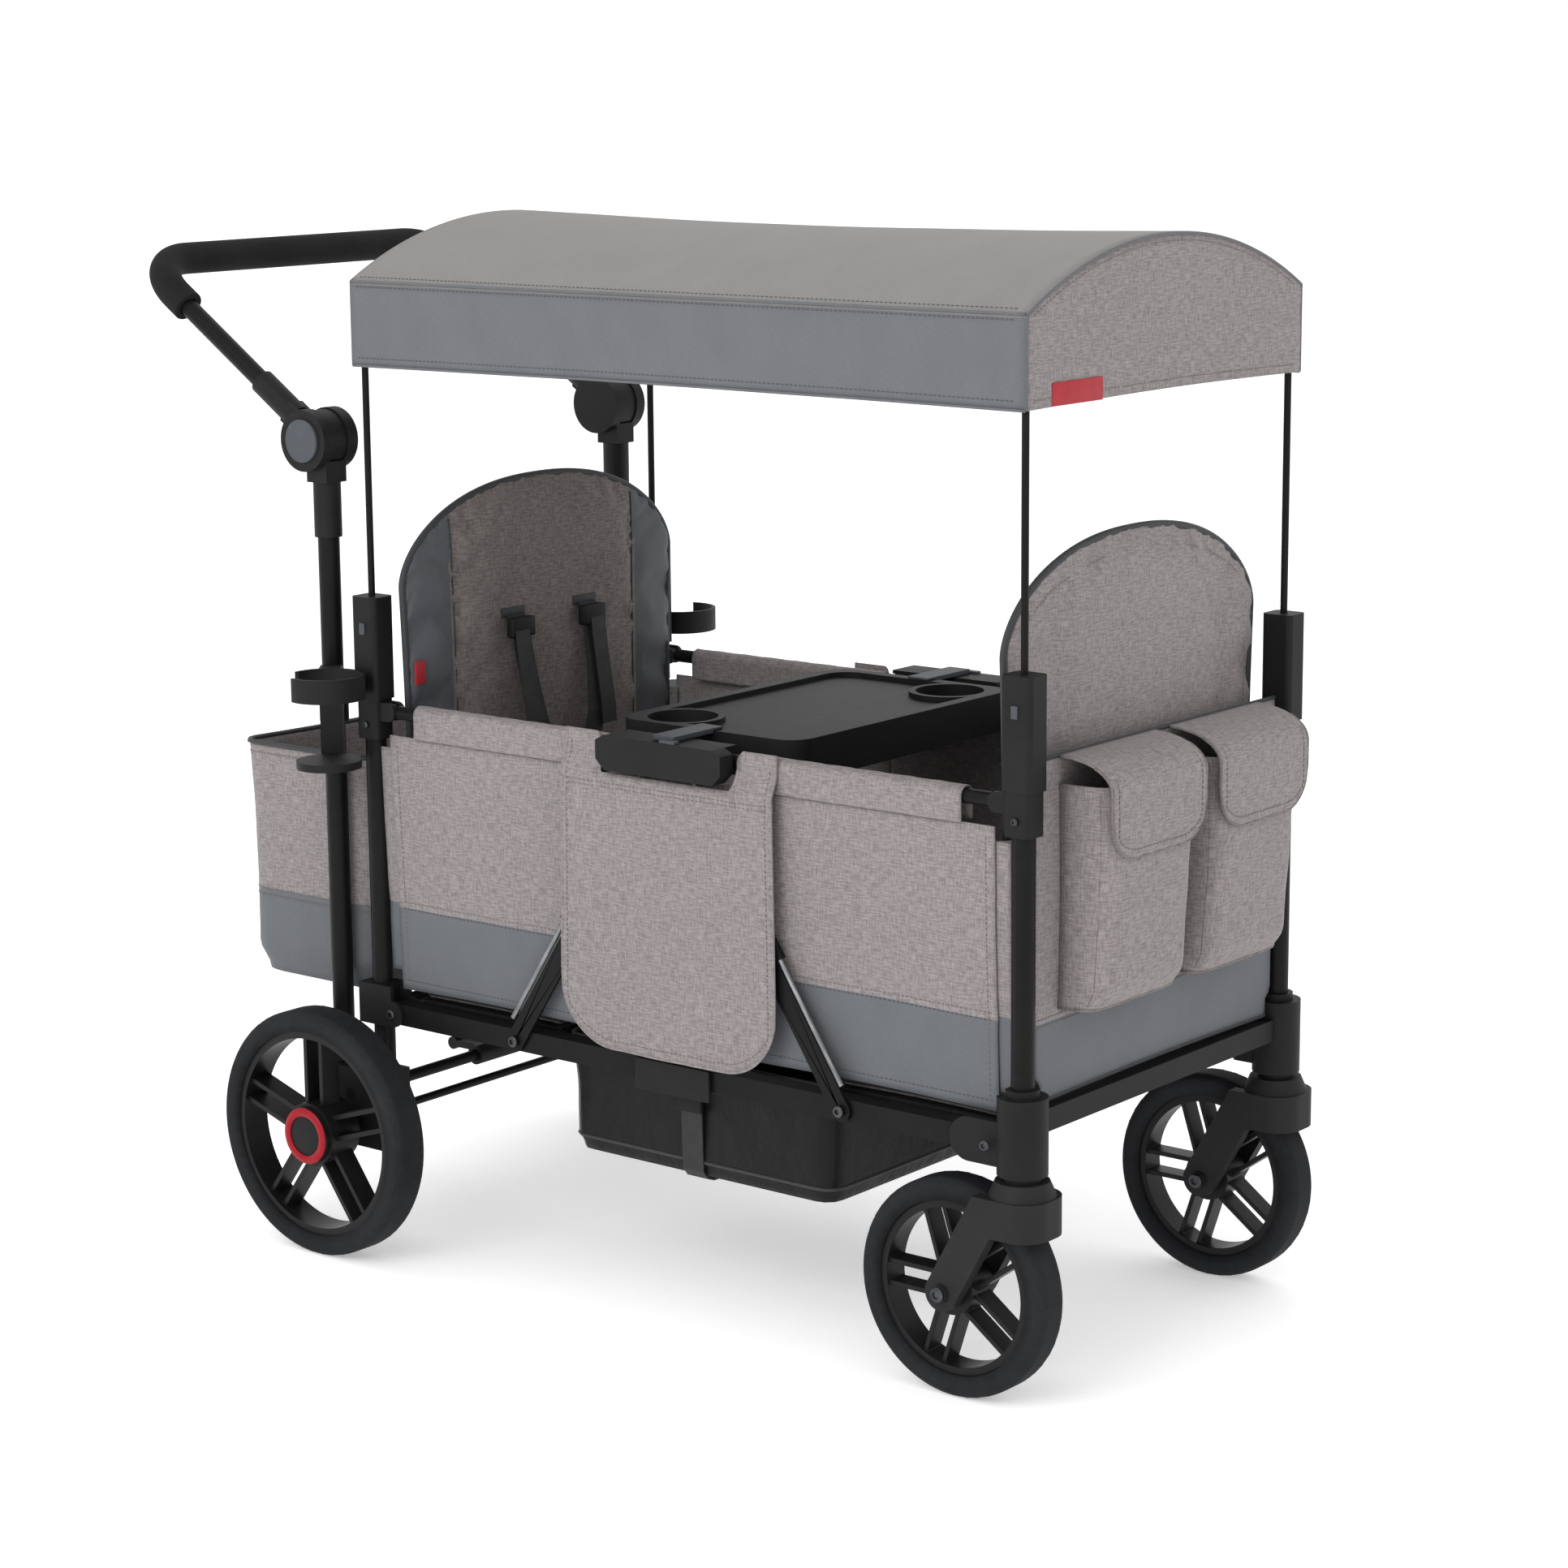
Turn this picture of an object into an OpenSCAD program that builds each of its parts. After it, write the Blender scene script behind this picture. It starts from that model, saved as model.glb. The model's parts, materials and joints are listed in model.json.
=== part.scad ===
// Stroller wagon: two facing seats between four posts, an arched canopy, a push handle,
// two large fixed rear wheels, two swivelling front casters and a frame that folds end to end.
// X runs from the handle end to the caster end, Y across, Z up from the floor.

/* [Frame] */
// Distance from the rear posts to the front posts
post_spacing_x = 924; // [860:1:1000]
// Distance from the left posts to the right posts
post_spacing_y = 500; // [460:1:560]
// Outside diameter of the posts
post_d = 25; // [22:0.5:27]
// Wall of the steel tubes
tube_wall = 1.5; // [1:0.1:2.5]
// Height of the centre line of the lower rails
lower_rail_z = 288; // [280:1:310]
// Side of the square lower rails
rail_w = 25; // [20:0.5:28]
// Height of the centre line of the upper rails
upper_rail_z = 648; // [620:1:680]
// Diameter of the upper rails
upper_rail_d = 16; // [12:0.5:18]
// Diameter of the cross tubes between the posts
cross_tube_d = 19; // [14:0.5:20]
// Diameter of the cross tubes under the floor
floor_tube_d = 16; // [12:0.5:18]
// Distance of the centre pivots from the middle of the wagon
link_half = 36; // [30:1:45]

/* [Wheels] */
// Diameter of a rear wheel
rear_wheel_d = 296; // [250:1:320]
// Width of a rear tyre
rear_tyre_w = 45; // [35:1:50]
// Distance of the rear axle behind the rear posts
rear_axle_back = 35; // [30:1:45]
// Diameter of a front wheel
front_wheel_d = 240; // [200:1:245]
// Width of a front tyre
front_tyre_w = 40; // [30:1:44]
// Distance of the caster axle behind its swivel axis
caster_trail = 78; // [60:1:90]
// Thickness of a tyre from tread to rim
tyre_t = 24; // [18:0.5:28]
// Diameter of the rear axle
axle_d = 10; // [8:0.5:12]
// Number of spoke pairs in a wheel
spoke_pairs = 5; // [4:1:7]

/* [Handle] */
// Diameter of the handle posts
handle_post_d = 25.4; // [22:0.2:28]
// Distance of the handle posts behind the rear posts
handle_post_back = 63; // [58:1:75]
// Distance of a handle post from the middle plane
handle_post_y = 255; // [250:1:262]
// Height of the handle pivot
knuckle_z = 960; // [920:1:1000]
// Diameter of a handle knuckle
knuckle_d = 72; // [66:1:78]
// Width of a handle knuckle
knuckle_w = 55; // [48:1:60]
// Slope of the handle above level
handle_tilt = 34; // [20:1:40]
// Length of the handle from its pivot to the middle of the cross bar
handle_len = 350; // [320:1:400]
// Diameter of the handle tube
handle_d = 22; // [20:0.5:24]
// Diameter of the foam grip
grip_d = 38; // [32:0.5:42]
// Radius of the bends in the handle
handle_bend_r = 68; // [60:1:90]

/* [Canopy] */
// Length of the canopy
canopy_len = 944; // [936:1:1000]
// Width of the canopy
canopy_w = 524; // [518:1:600]
// Height of the canopy's lower hem
canopy_hem_z = 1048; // [1000:1:1080]
// Height of the canopy's eaves
canopy_eave_z = 1145; // [1120:1:1180]
// Height of the canopy's crown
canopy_crown_z = 1214; // [1195:1:1250]
// Diameter of the canopy rods
rod_d = 8; // [6:0.5:10]
// Top of the rod sockets on the posts
socket_top_z = 782; // [760:1:800]

/* [Seats] */
// Height of the crown of a seat back
seat_crown_z = 904; // [880:1:920]
// Height of the shoulders of a seat back
seat_shoulder_z = 790; // [760:1:810]
// Height of the lower edge of a seat back
seat_back_low_z = 380; // [375:1:400]
// Width of a seat back
seat_back_w = 476; // [440:1:478]
// Thickness of a seat back
seat_back_t = 30; // [20:0.5:32]
// Thickness of a seat pad
seat_pad_t = 34; // [20:1:45]

/* [Soft goods] */
// Thickness of the fabric sheets
cloth_t = 2.5; // [2:0.1:4]
// Lower edge of the side panels
panel_low_z = 316; // [314:1:330]
// Reach of the top hem on each side of the middle
hem_half = 390; // [360:1:400]
// Width of a side apron
apron_w = 298; // [260:1:320]
// Lower edge of a side apron
apron_low_z = 305; // [295:1:340]
// Depth of the rear basket, front to back
basket_depth = 215; // [180:1:250]
// Lower face of the rear basket
basket_low_z = 290; // [285:1:330]
// Upper edge of the rear basket
basket_top_z = 585; // [540:1:586]
// Lower face of the footwell
footwell_low_z = 155; // [140:1:200]
// Width of one front pocket
pocket_w = 175; // [140:1:190]
// Depth of a front pocket
pocket_depth = 65; // [40:1:80]
// Lower face of a front pocket
pocket_low_z = 421; // [400:1:450]
// Top of a front pocket
pocket_top_z = 690; // [660:1:700]

/* [Tray and cup holders] */
// Length of the tray along the wagon
tray_len = 260; // [220:1:290]
// Gap between a side of the tray and the middle of the rail beside it
tray_side_gap = 45; // [40:1:60]
// Height of the tray's upper face
tray_top_z = 668; // [664:1:690]
// Inside diameter of a tray cup well
tray_well_d = 80; // [70:1:84]
// Depth of a tray cup well
tray_well_depth = 45; // [30:1:60]
// Inside diameter of a cup holder ring
cup_ring_d = 82; // [70:1:90]
// Height of a cup holder ring
cup_ring_h = 28; // [20:1:36]
// Top of a cup holder ring
cup_ring_top_z = 697; // [680:1:720]
// Height of a cup holder from its base to its rim
cup_holder_h = 109; // [90:1:130]

/* [Hidden] */
$fn = 64;

// Clearances, and the overrun of every cut
run_gap = 0.05;
fit_gap = 0.1;
seat_gap = 0.3;
side_gap = 0.5;
over = 1;

// Places of the posts
px = post_spacing_x / 2;
py = post_spacing_y / 2;

// Lower rail ends: pin, wall round the pin, cheeks and webs of the brackets
rail_pin_d = 8;
rail_eye_wall = 2;
bracket_web = 2;
cheek_t = 5;
rail_tail = rail_pin_d / 2 + rail_eye_wall;
tail_swing = norm([rail_w / 2, rail_tail]) + side_gap;
pivot_x = px - post_d / 2 - bracket_web - tail_swing;
clevis_half_y = rail_w / 2 + side_gap + cheek_t;

// Upper rail ends: eyes, pins and the cheeks that hold them
eye_t = 8;
eye_rim = 1;
eye_d = upper_rail_d + 2 * eye_rim;
eye_pin_d = 6;
loose_pin_d = 5;
lug_t = 5;
lug_rim = 2;
lug_d = eye_d + 2 * lug_rim;

// Floor: cross tubes, boards and the footwell opening
footwell_half = 205;
floor_tube_inset = 33;
floor_tube_x_far = pivot_x - floor_tube_inset;
board_t = 6;
board_z = lower_rail_z + floor_tube_d / 2 + seat_gap;
board_inset = 18;
board_end_x = pivot_x - board_inset;
board_half_y = py - clevis_half_y - side_gap;

// Struts: foot on the lower rail, open head under the lock housing
strut_foot_x = 236;
strut_head_x = 20;
strut_w = 24;
strut_t = 4;
strut_stud_d = 6;
strut_bar_share = 0.56;
strut_rod_d = 6;
strut_rod_offset = 17;
sleeve_from_share = 0.44;
sleeve_len = 24;
sleeve_wall = 3;
strut_y = py + rail_w / 2 + side_gap;

// Centre lock housing over the upper rails
lock_half = 89;
lock_drop = 22;
lock_rise = 17;
lock_low_z = upper_rail_z - lock_drop;
lock_top_z = upper_rail_z + lock_rise;
lock_chamfer = 12;
lock_stand_off = 12.5;
lock_t = 22.5;
lock_inner_y = py + lock_stand_off;
lock_outer_y = lock_inner_y + lock_t;
lock_roof_t = 4.5;
lock_boss_d = 14;
lock_button_x = 13;
lock_button_w = 22;
lock_button_d = 9;
lock_button_depth = 8;
lock_button_proud = 3;
lock_button_travel = 2.5;
strut_head_drop = 9;
strut_head_z = lock_low_z - strut_head_drop;
strut_run = [strut_foot_x - strut_head_x, strut_head_z - lower_rail_z];
strut_len = norm(strut_run);
strut_angle = atan2(strut_run[1], strut_run[0]);

// Rod sockets on the post heads
socket_drop = 33;
socket_step = 14;
socket_low_z = upper_rail_z - socket_drop;
socket_step_z = upper_rail_z + socket_step;
socket_x = 38;
socket_y = 34;
socket_r = 7;
clamp_x = 33;
clamp_y = 31;
rod_guide_len = 82;
rod_insert = 60;
post_top_z = socket_top_z - rod_guide_len;
rod_low_z = socket_top_z - rod_insert;
button_w = 8;
button_h = 14;
button_drop = 37;
button_z = socket_top_z - button_drop;
button_depth = 9;
button_proud = 2;
button_travel = 3;

// Rear axle, brackets and carriers
rear_axle_x = -px - rear_axle_back;
rear_axle_z = rear_wheel_d / 2;
wheel_stand_off = 50;
wheel_inner_y = py + wheel_stand_off;
bracket_up = 33;
bracket_down = 16;
bracket_wall = 11;
carrier_wall = 8;
carrier_low = 28;
carrier_high = 67;
carrier_half_y = 19;
brake_bar_d = 14;
brake_bar_up = 34;
post_seat = 8;
post_low_z = rear_axle_z + axle_d / 2 + post_seat;
spacer_d = 24;
handle_post_x = -px - handle_post_back;

// Front corner brackets and casters
front_axle_x = px - caster_trail;
front_axle_z = front_wheel_d / 2;
wheel_head_room = 16;
corner_h = 84;
corner_low_z = front_wheel_d + wheel_head_room;
corner_top_z = corner_low_z + corner_h;
corner_d = 54;
corner_collar_d = 36;
corner_collar_h = 8;
corner_arm_len = 52;
corner_arm_up = 24;
corner_cheek_reach = 16;
stem_d = 16;
stem_h = 40;
stem_collar_d = 40;
stem_collar_h = 5.7;
post_socket_rise = 46;
front_post_low_z = corner_low_z + post_socket_rise;
front_bar_z = 309.5;
fork_gap = 6;
fork_side_gap = 3;
fork_leg_t = 15;
fork_eye_d = 40;
fork_bolt_d = 8;
fork_bolt_head_d = 20;
fork_bolt_head_t = 4;
fork_cap_h = 58;
fork_cap_front = 38;
fork_cap_back = 44;
fork_cap_r = 30;
fork_bell_h = 16;
fork_bell_low_d = 72;
fork_bell_top_d = 58;
fork_leg_w = 40;

// Wheels: rim, hub and spokes
rim_t = 9;
hub_d = 76;
front_hub_d = 57;
spoke_w = 5.5;
spoke_pitch = 25;
rear_spoke_turn = -90;
front_spoke_turn = 180;
spoke_depth_share = 0.6;
spoke_root_share = 0.25;
hub_cap_d = 68;
hub_cap_h = 7;
axle_cover = 7;
tyre_edge_r = 9;
rim_inset = 4;

// Brake pedal on its bar
pedal_hub_d = 24;
pedal_w = 120;
pedal_len = 62;
pedal_t = 8;
pedal_pad_w = 70;

// Handle knuckles, sleeves and caps
knuckle_back = 10;
knuckle_x = handle_post_x - knuckle_back;
tongue_w = 23;
tongue_step = 2;
tongue_d = knuckle_d - 2 * tongue_step;
knuckle_pin_d = 10;
post_sleeve_wall = 3.5;
post_sleeve_drop = 113;
sleeve_d = handle_post_d + 2 * post_sleeve_wall;
sleeve_low_z = knuckle_z - post_sleeve_drop;
sleeve_top_z = knuckle_z - knuckle_d / 2;
saddle_h = 26;
arm_sleeve_wall = 4;
arm_gap = 5;
arm_sleeve_d = handle_d + 2 * arm_sleeve_wall;
arm_sleeve_from = knuckle_d / 2 + arm_gap;
arm_sleeve_len = 70;
arm_stop = 14;
arm_tube_from = arm_sleeve_from + arm_stop;
neck_h = 26;
grip_from = 258;
cap_d = 50;
cap_depth = 7;
cap_proud = 3;
cap_travel = 3;

// Cup holders
cup_wall = 4;
cup_base_t = 9;
cup_base_d = 76;
cup_offset = 80;
cup_bearing = 50;
cup_spine_w = 26;
cup_clamp_wall = 4.5;
cup_clamp_d = handle_post_d + 2 * cup_clamp_wall;
cup_clamp_h = 40;
cup_gap_w = 46;

// Canopy shell and bows
canopy_cloth = 2.5;
bow_joint_share = 1.25;
roof_r = (pow(canopy_w / 2, 2) + pow(canopy_crown_z - canopy_eave_z, 2)) / (2 * (canopy_crown_z - canopy_eave_z));
roof_centre_z = canopy_crown_z - roof_r;
bow_joint_d = rod_d * bow_joint_share;
bow_r = roof_r - canopy_cloth - side_gap - bow_joint_d / 2;
bow_end_angle = asin(py / bow_r);
bow_end_z = roof_centre_z + bow_r * cos(bow_end_angle);
roof_steps = 24;

// Side panels, hem and apron
hem_slack = 2;
hem_r = upper_rail_d / 2 + hem_slack;
hem_tail = 26;
lock_clear = 4;
panel_drop = 26.3;
panel_top_z = upper_rail_z - panel_drop;
panel_ripple = 2.2;
panel_bow = 4;
apron_step = 1;
apron_notch_gap = 5;
apron_top_z = lock_top_z - apron_step;
apron_notch_z = lock_low_z - apron_notch_gap;
apron_out = 23.5;
apron_ripple = 1.6;

// Seat cushions
seat_seam_t = 5;
seat_draw_share = 0.03;
cross_tube_inset = 11;
seat_x = px - cross_tube_inset - cross_tube_d / 2 - seat_gap - seat_back_t / 2;
pad_seam_t = 6;
pad_half_y = 222;

// Rear basket, footwell, front panel and pockets
basket_front_x = -px - post_d / 2 - bracket_wall - seat_gap;
basket_half_y = handle_post_y - handle_post_d / 2 - seat_gap;
basket_r = 45;
footwell_top_z = lower_rail_z + floor_tube_d / 2;
footwell_half_y = 225;
footwell_slope = 6;
front_panel_x = px - cross_tube_inset + cross_tube_d / 2 + seat_gap;
bar_panel_gap = 3;
front_panel_low_z = front_bar_z + rail_w / 2 + bar_panel_gap;
front_panel_half_y = py - socket_y / 2 - seat_gap;
pocket_gap = 30;
pocket_taper = 10;
flap_drop = 108;
flap_t = 3;
flap_r = 16;
cross_tube_z = 560;

// Tray
tray_w = 2 * (py - tray_side_gap);
tray_plate_t = 8;
tray_wall = 3;
tray_r = 30;
tray_recess = 6;
tray_margin = 16;
tray_well_inset_x = 58;
tray_well_inset_y = 50;
tray_skirt_h = 46;
clip_w = 30;
clip_t = 3;

// Shift that brings the middle of the whole length to the origin
rear_reach = knuckle_x - handle_len * cos(handle_tilt) - grip_d / 2;
pocket_x = front_panel_x + cloth_t + seat_gap;
flap_x = pocket_x + pocket_depth + seat_gap;
front_reach = flap_x + flap_t;
mid_x = (rear_reach + front_reach) / 2;

// Colours
frame_black = "#1c1c1d";
plastic_black = "#262627";
tyre_black = "#171717";
cap_grey = "#5d6066";
heather = "#8a817b";
satin_grey = "#5f6165";
nylon_black = "#1a1b1e";
rod_steel = "#a5a7aa";

// Shared shapes

// Everything is drawn about the middle of the posts and moved to the middle of the whole length
module placed() translate([-mid_x, 0, 0]) children();

module both_sides() {
    children();
    mirror([0, 1, 0]) children();
}

module right_side() mirror([0, 1, 0]) children();

module rear_end() mirror([1, 0, 0]) children();

module block(low, high) translate(low) cube(high - low);

module bar_x(d, at, x0, x1) translate([x0, at[0], at[1]]) rotate([0, 90, 0]) cylinder(d = d, h = x1 - x0);

module bar_y(d, at, y0, y1) translate([at[0], y0, at[1]]) rotate([-90, 0, 0]) cylinder(d = d, h = y1 - y0);

module bar_z(d, at, z0, z1) translate([at[0], at[1], z0]) cylinder(d = d, h = z1 - z0);

module pipe_x(d, at, x0, x1) difference() {
    bar_x(d, at, x0, x1);
    bar_x(d - 2 * tube_wall, at, x0 - over, x1 + over);
}

module pipe_y(d, at, y0, y1) difference() {
    bar_y(d, at, y0, y1);
    bar_y(d - 2 * tube_wall, at, y0 - over, y1 + over);
}

module pipe_z(d, at, z0, z1) difference() {
    bar_z(d, at, z0, z1);
    bar_z(d - 2 * tube_wall, at, z0 - over, z1 + over);
}

// Outline in X and Z, as thick as y0 to y1
module plate_xz(points, y0, y1)
    translate([0, y1, 0]) rotate([90, 0, 0]) linear_extrude(y1 - y0) polygon(points);

// Outline in Y and Z, as long as x0 to x1
module plate_yz(points, x0, x1)
    translate([x0, 0, 0]) rotate([90, 0, 90]) linear_extrude(x1 - x0) polygon(points);

module rounded_rect(w, h, r) {
    square([w - 2 * r, h], center = true);
    square([w, h - 2 * r], center = true);
    for (sx = [-1, 1], sy = [-1, 1]) translate([sx * (w / 2 - r), sy * (h / 2 - r)]) circle(r);
}

module rounded_post(w, h, r, at, z0, z1)
    translate([at[0], at[1], z0]) linear_extrude(z1 - z0) rounded_rect(w, h, r);

// Closed skin between two grids of points, nu by nv cells
function cell(i, j, nv) = i * (nv + 1) + j;

function skin_faces(nu, nv) =
    let (n = (nu + 1) * (nv + 1))
    concat(
        [for (i = [0:nu - 1], j = [0:nv - 1]) [cell(i, j, nv), cell(i + 1, j + 1, nv), cell(i + 1, j, nv)]],
        [for (i = [0:nu - 1], j = [0:nv - 1]) [cell(i, j, nv), cell(i, j + 1, nv), cell(i + 1, j + 1, nv)]],
        [for (i = [0:nu - 1], j = [0:nv - 1]) [n + cell(i, j, nv), n + cell(i + 1, j, nv), n + cell(i + 1, j + 1, nv)]],
        [for (i = [0:nu - 1], j = [0:nv - 1]) [n + cell(i, j, nv), n + cell(i + 1, j + 1, nv), n + cell(i, j + 1, nv)]],
        [for (i = [0:nu - 1]) [cell(i, 0, nv), cell(i + 1, 0, nv), n + cell(i + 1, 0, nv)]],
        [for (i = [0:nu - 1]) [cell(i, 0, nv), n + cell(i + 1, 0, nv), n + cell(i, 0, nv)]],
        [for (i = [0:nu - 1]) [cell(i, nv, nv), n + cell(i + 1, nv, nv), cell(i + 1, nv, nv)]],
        [for (i = [0:nu - 1]) [cell(i, nv, nv), n + cell(i, nv, nv), n + cell(i + 1, nv, nv)]],
        [for (j = [0:nv - 1]) [cell(0, j, nv), n + cell(0, j, nv), n + cell(0, j + 1, nv)]],
        [for (j = [0:nv - 1]) [cell(0, j, nv), n + cell(0, j + 1, nv), cell(0, j + 1, nv)]],
        [for (j = [0:nv - 1]) [cell(nu, j, nv), n + cell(nu, j + 1, nv), n + cell(nu, j, nv)]],
        [for (j = [0:nv - 1]) [cell(nu, j, nv), cell(nu, j + 1, nv), n + cell(nu, j + 1, nv)]]
    );

// near and far are functions of u and v, both from 0 to 1, that give a point
module skin(nu, nv, near, far) polyhedron(
    points = concat(
        [for (i = [0:nu], j = [0:nv]) near(i / nu, j / nv)],
        [for (i = [0:nu], j = [0:nv]) far(i / nu, j / nv)]
    ),
    faces = skin_faces(nu, nv)
);

// Fullness of a cushion: 1 in the middle, 0 at the seam
function fullness(u, v) = sqrt(max(0, 1 - pow(2 * u - 1, 4)) * max(0, 1 - pow(2 * v - 1, 4)));

// Rear end frame

module rear_posts() color(frame_black) placed() {
    union() {
        both_sides() pipe_z(post_d, [-px, py], post_low_z, post_top_z);
        pipe_y(cross_tube_d, [-px + cross_tube_inset, cross_tube_z], -py, py);
    }
    pipe_y(
        cross_tube_d, [-px, lower_rail_z],
        -py + clevis_half_y + seat_gap, py - clevis_half_y - seat_gap
    );
}

module rear_brackets() color(plastic_black) placed() both_sides() {
    difference() {
        union() {
            block(
                [-px - post_d / 2 - bracket_wall, py - clevis_half_y, lower_rail_z - bracket_down],
                [-pivot_x, py + clevis_half_y, lower_rail_z + bracket_up]
            );
            bar_y(2 * bracket_down, [-pivot_x, lower_rail_z], py - clevis_half_y, py + clevis_half_y);
        }
        bar_z(
            post_d + 2 * fit_gap, [-px, py],
            lower_rail_z - bracket_down - over, lower_rail_z + bracket_up + over
        );
        block(
            [-pivot_x - tail_swing, py - rail_w / 2 - side_gap, lower_rail_z - bracket_down - over],
            [-pivot_x + bracket_down + over, py + rail_w / 2 + side_gap, lower_rail_z + bracket_up + over]
        );
    }
    bar_y(rail_pin_d, [-pivot_x, lower_rail_z], py - clevis_half_y, py + clevis_half_y);
}

carrier_outer_y = handle_post_y + handle_post_d / 2 + carrier_wall;

module axle_carriers() color(plastic_black) placed() both_sides() difference() {
    block(
        [handle_post_x - handle_post_d / 2 - carrier_wall, py - carrier_half_y, rear_axle_z - carrier_low],
        [-px + post_d / 2 + carrier_wall, carrier_outer_y, rear_axle_z + carrier_high]
    );
    bar_z(post_d + 2 * fit_gap, [-px, py], post_low_z - fit_gap, rear_axle_z + carrier_high + over);
    bar_z(
        handle_post_d + 2 * fit_gap, [handle_post_x, handle_post_y],
        post_low_z - fit_gap, rear_axle_z + carrier_high + over
    );
    bar_y(
        axle_d + 2 * fit_gap, [rear_axle_x, rear_axle_z],
        py - carrier_half_y - over, carrier_outer_y + over
    );
    bar_y(
        brake_bar_d + 2 * fit_gap, [rear_axle_x, rear_axle_z + brake_bar_up],
        py - carrier_half_y - over, carrier_outer_y + over
    );
}

axle_end_y = wheel_inner_y + rear_tyre_w - axle_cover;

module rear_axle() color(frame_black) placed() {
    union() {
        bar_y(axle_d, [rear_axle_x, rear_axle_z], -axle_end_y, axle_end_y);
        both_sides() bar_y(
            spacer_d, [rear_axle_x, rear_axle_z],
            carrier_outer_y + fit_gap, wheel_inner_y - seat_gap
        );
    }
    bar_y(brake_bar_d, [rear_axle_x, rear_axle_z + brake_bar_up], -carrier_outer_y, carrier_outer_y);
}

module brake_pedal() color(cap_grey) placed() translate([rear_axle_x, 0, rear_axle_z + brake_bar_up])
    difference() {
        union() {
            bar_y(pedal_hub_d, [0, 0], -pedal_w / 2, pedal_w / 2);
            block([-pedal_len, -pedal_pad_w / 2, -pedal_t / 2], [0, pedal_pad_w / 2, pedal_t / 2]);
            bar_y(2 * pedal_t, [-pedal_len, 0], -pedal_pad_w / 2, pedal_pad_w / 2);
        }
        bar_y(brake_bar_d + 2 * run_gap, [0, 0], -pedal_w / 2 - over, pedal_w / 2 + over);
    }

// Push handle

module handle_posts() color(frame_black) placed() both_sides()
    pipe_z(handle_post_d, [handle_post_x, handle_post_y], post_low_z, sleeve_top_z - saddle_h / 2);

module handle_knuckles() color(plastic_black) placed() both_sides() {
    difference() {
        union() {
            bar_y(
                knuckle_d, [knuckle_x, knuckle_z],
                handle_post_y - knuckle_w / 2, handle_post_y + knuckle_w / 2
            );
            bar_z(sleeve_d, [handle_post_x, handle_post_y], sleeve_low_z, sleeve_top_z);
            block(
                [handle_post_x - sleeve_d / 2, handle_post_y - sleeve_d / 2, sleeve_top_z - saddle_h / 2],
                [handle_post_x + sleeve_d / 2, handle_post_y + sleeve_d / 2, sleeve_top_z + saddle_h / 2]
            );
        }
        bar_y(
            tongue_d + 4 * side_gap, [knuckle_x, knuckle_z],
            handle_post_y - tongue_w / 2 - side_gap, handle_post_y + tongue_w / 2 + side_gap
        );
        // Sector between the cheeks through which the arm swings
        block(
            [knuckle_x - knuckle_d, handle_post_y - tongue_w / 2 - side_gap, knuckle_z - knuckle_d / 3],
            [knuckle_x + knuckle_d / 2 + over, handle_post_y + tongue_w / 2 + side_gap, knuckle_z + knuckle_d]
        );
        block(
            [knuckle_x - knuckle_d, handle_post_y - tongue_w / 2 - side_gap, knuckle_z - knuckle_d],
            [handle_post_x - sleeve_d / 2, handle_post_y + tongue_w / 2 + side_gap, knuckle_z]
        );
        bar_z(
            handle_post_d + 2 * fit_gap, [handle_post_x, handle_post_y],
            sleeve_low_z - over, sleeve_top_z - saddle_h / 2 + fit_gap
        );
        bar_y(
            cap_d + 2 * seat_gap, [knuckle_x, knuckle_z],
            handle_post_y + knuckle_w / 2 - cap_depth, handle_post_y + knuckle_w / 2 + over
        );
    }
    bar_y(
        knuckle_pin_d, [knuckle_x, knuckle_z],
        handle_post_y - knuckle_w / 2 + over, handle_post_y + knuckle_w / 2 - cap_depth
    );
}

module knuckle_button() placed() bar_y(
    cap_d, [knuckle_x, knuckle_z],
    handle_post_y + knuckle_w / 2 - cap_depth + cap_travel + seat_gap, handle_post_y + knuckle_w / 2 + cap_proud
);

module knuckle_button_left() color(cap_grey) knuckle_button();

module knuckle_button_right() color(cap_grey) right_side() knuckle_button();

// The handle lies along -X in its own plane and is tilted up about the knuckle axis
module handle_plane() placed() translate([knuckle_x, 0, knuckle_z]) rotate([0, handle_tilt, 0]) children();

module handle_arms() color(plastic_black) handle_plane() both_sides() difference() {
    union() {
        bar_y(tongue_d, [0, 0], handle_post_y - tongue_w / 2, handle_post_y + tongue_w / 2);
        block(
            [-arm_sleeve_from - arm_stop, handle_post_y - tongue_w / 2, -neck_h / 2],
            [0, handle_post_y + tongue_w / 2, neck_h / 2]
        );
        bar_x(arm_sleeve_d, [handle_post_y, 0], -arm_sleeve_from - arm_sleeve_len, -arm_sleeve_from);
    }
    bar_y(
        knuckle_pin_d + 2 * run_gap, [0, 0],
        handle_post_y - tongue_w / 2 - over, handle_post_y + tongue_w / 2 + over
    );
    bar_x(
        handle_d + 2 * fit_gap, [handle_post_y, 0],
        -arm_sleeve_from - arm_sleeve_len - over, -arm_tube_from + fit_gap
    );
}

// U shape of a given diameter: arms from x0 back, bends, and the cross bar
module handle_u(d, x0) {
    straight_x = handle_len - handle_bend_r;
    straight_y = handle_post_y - handle_bend_r;
    both_sides() {
        bar_x(d, [handle_post_y, 0], -straight_x, -x0);
        translate([-straight_x, straight_y, 0]) rotate([0, 0, 90]) rotate_extrude(angle = 90)
            translate([handle_bend_r, 0]) circle(d = d);
    }
    bar_y(d, [-handle_len, 0], -straight_y, straight_y);
}

module handle_bar() color(frame_black) handle_plane() difference() {
    handle_u(handle_d, arm_tube_from);
    handle_u(handle_d - 2 * tube_wall, arm_tube_from - over);
}

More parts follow.
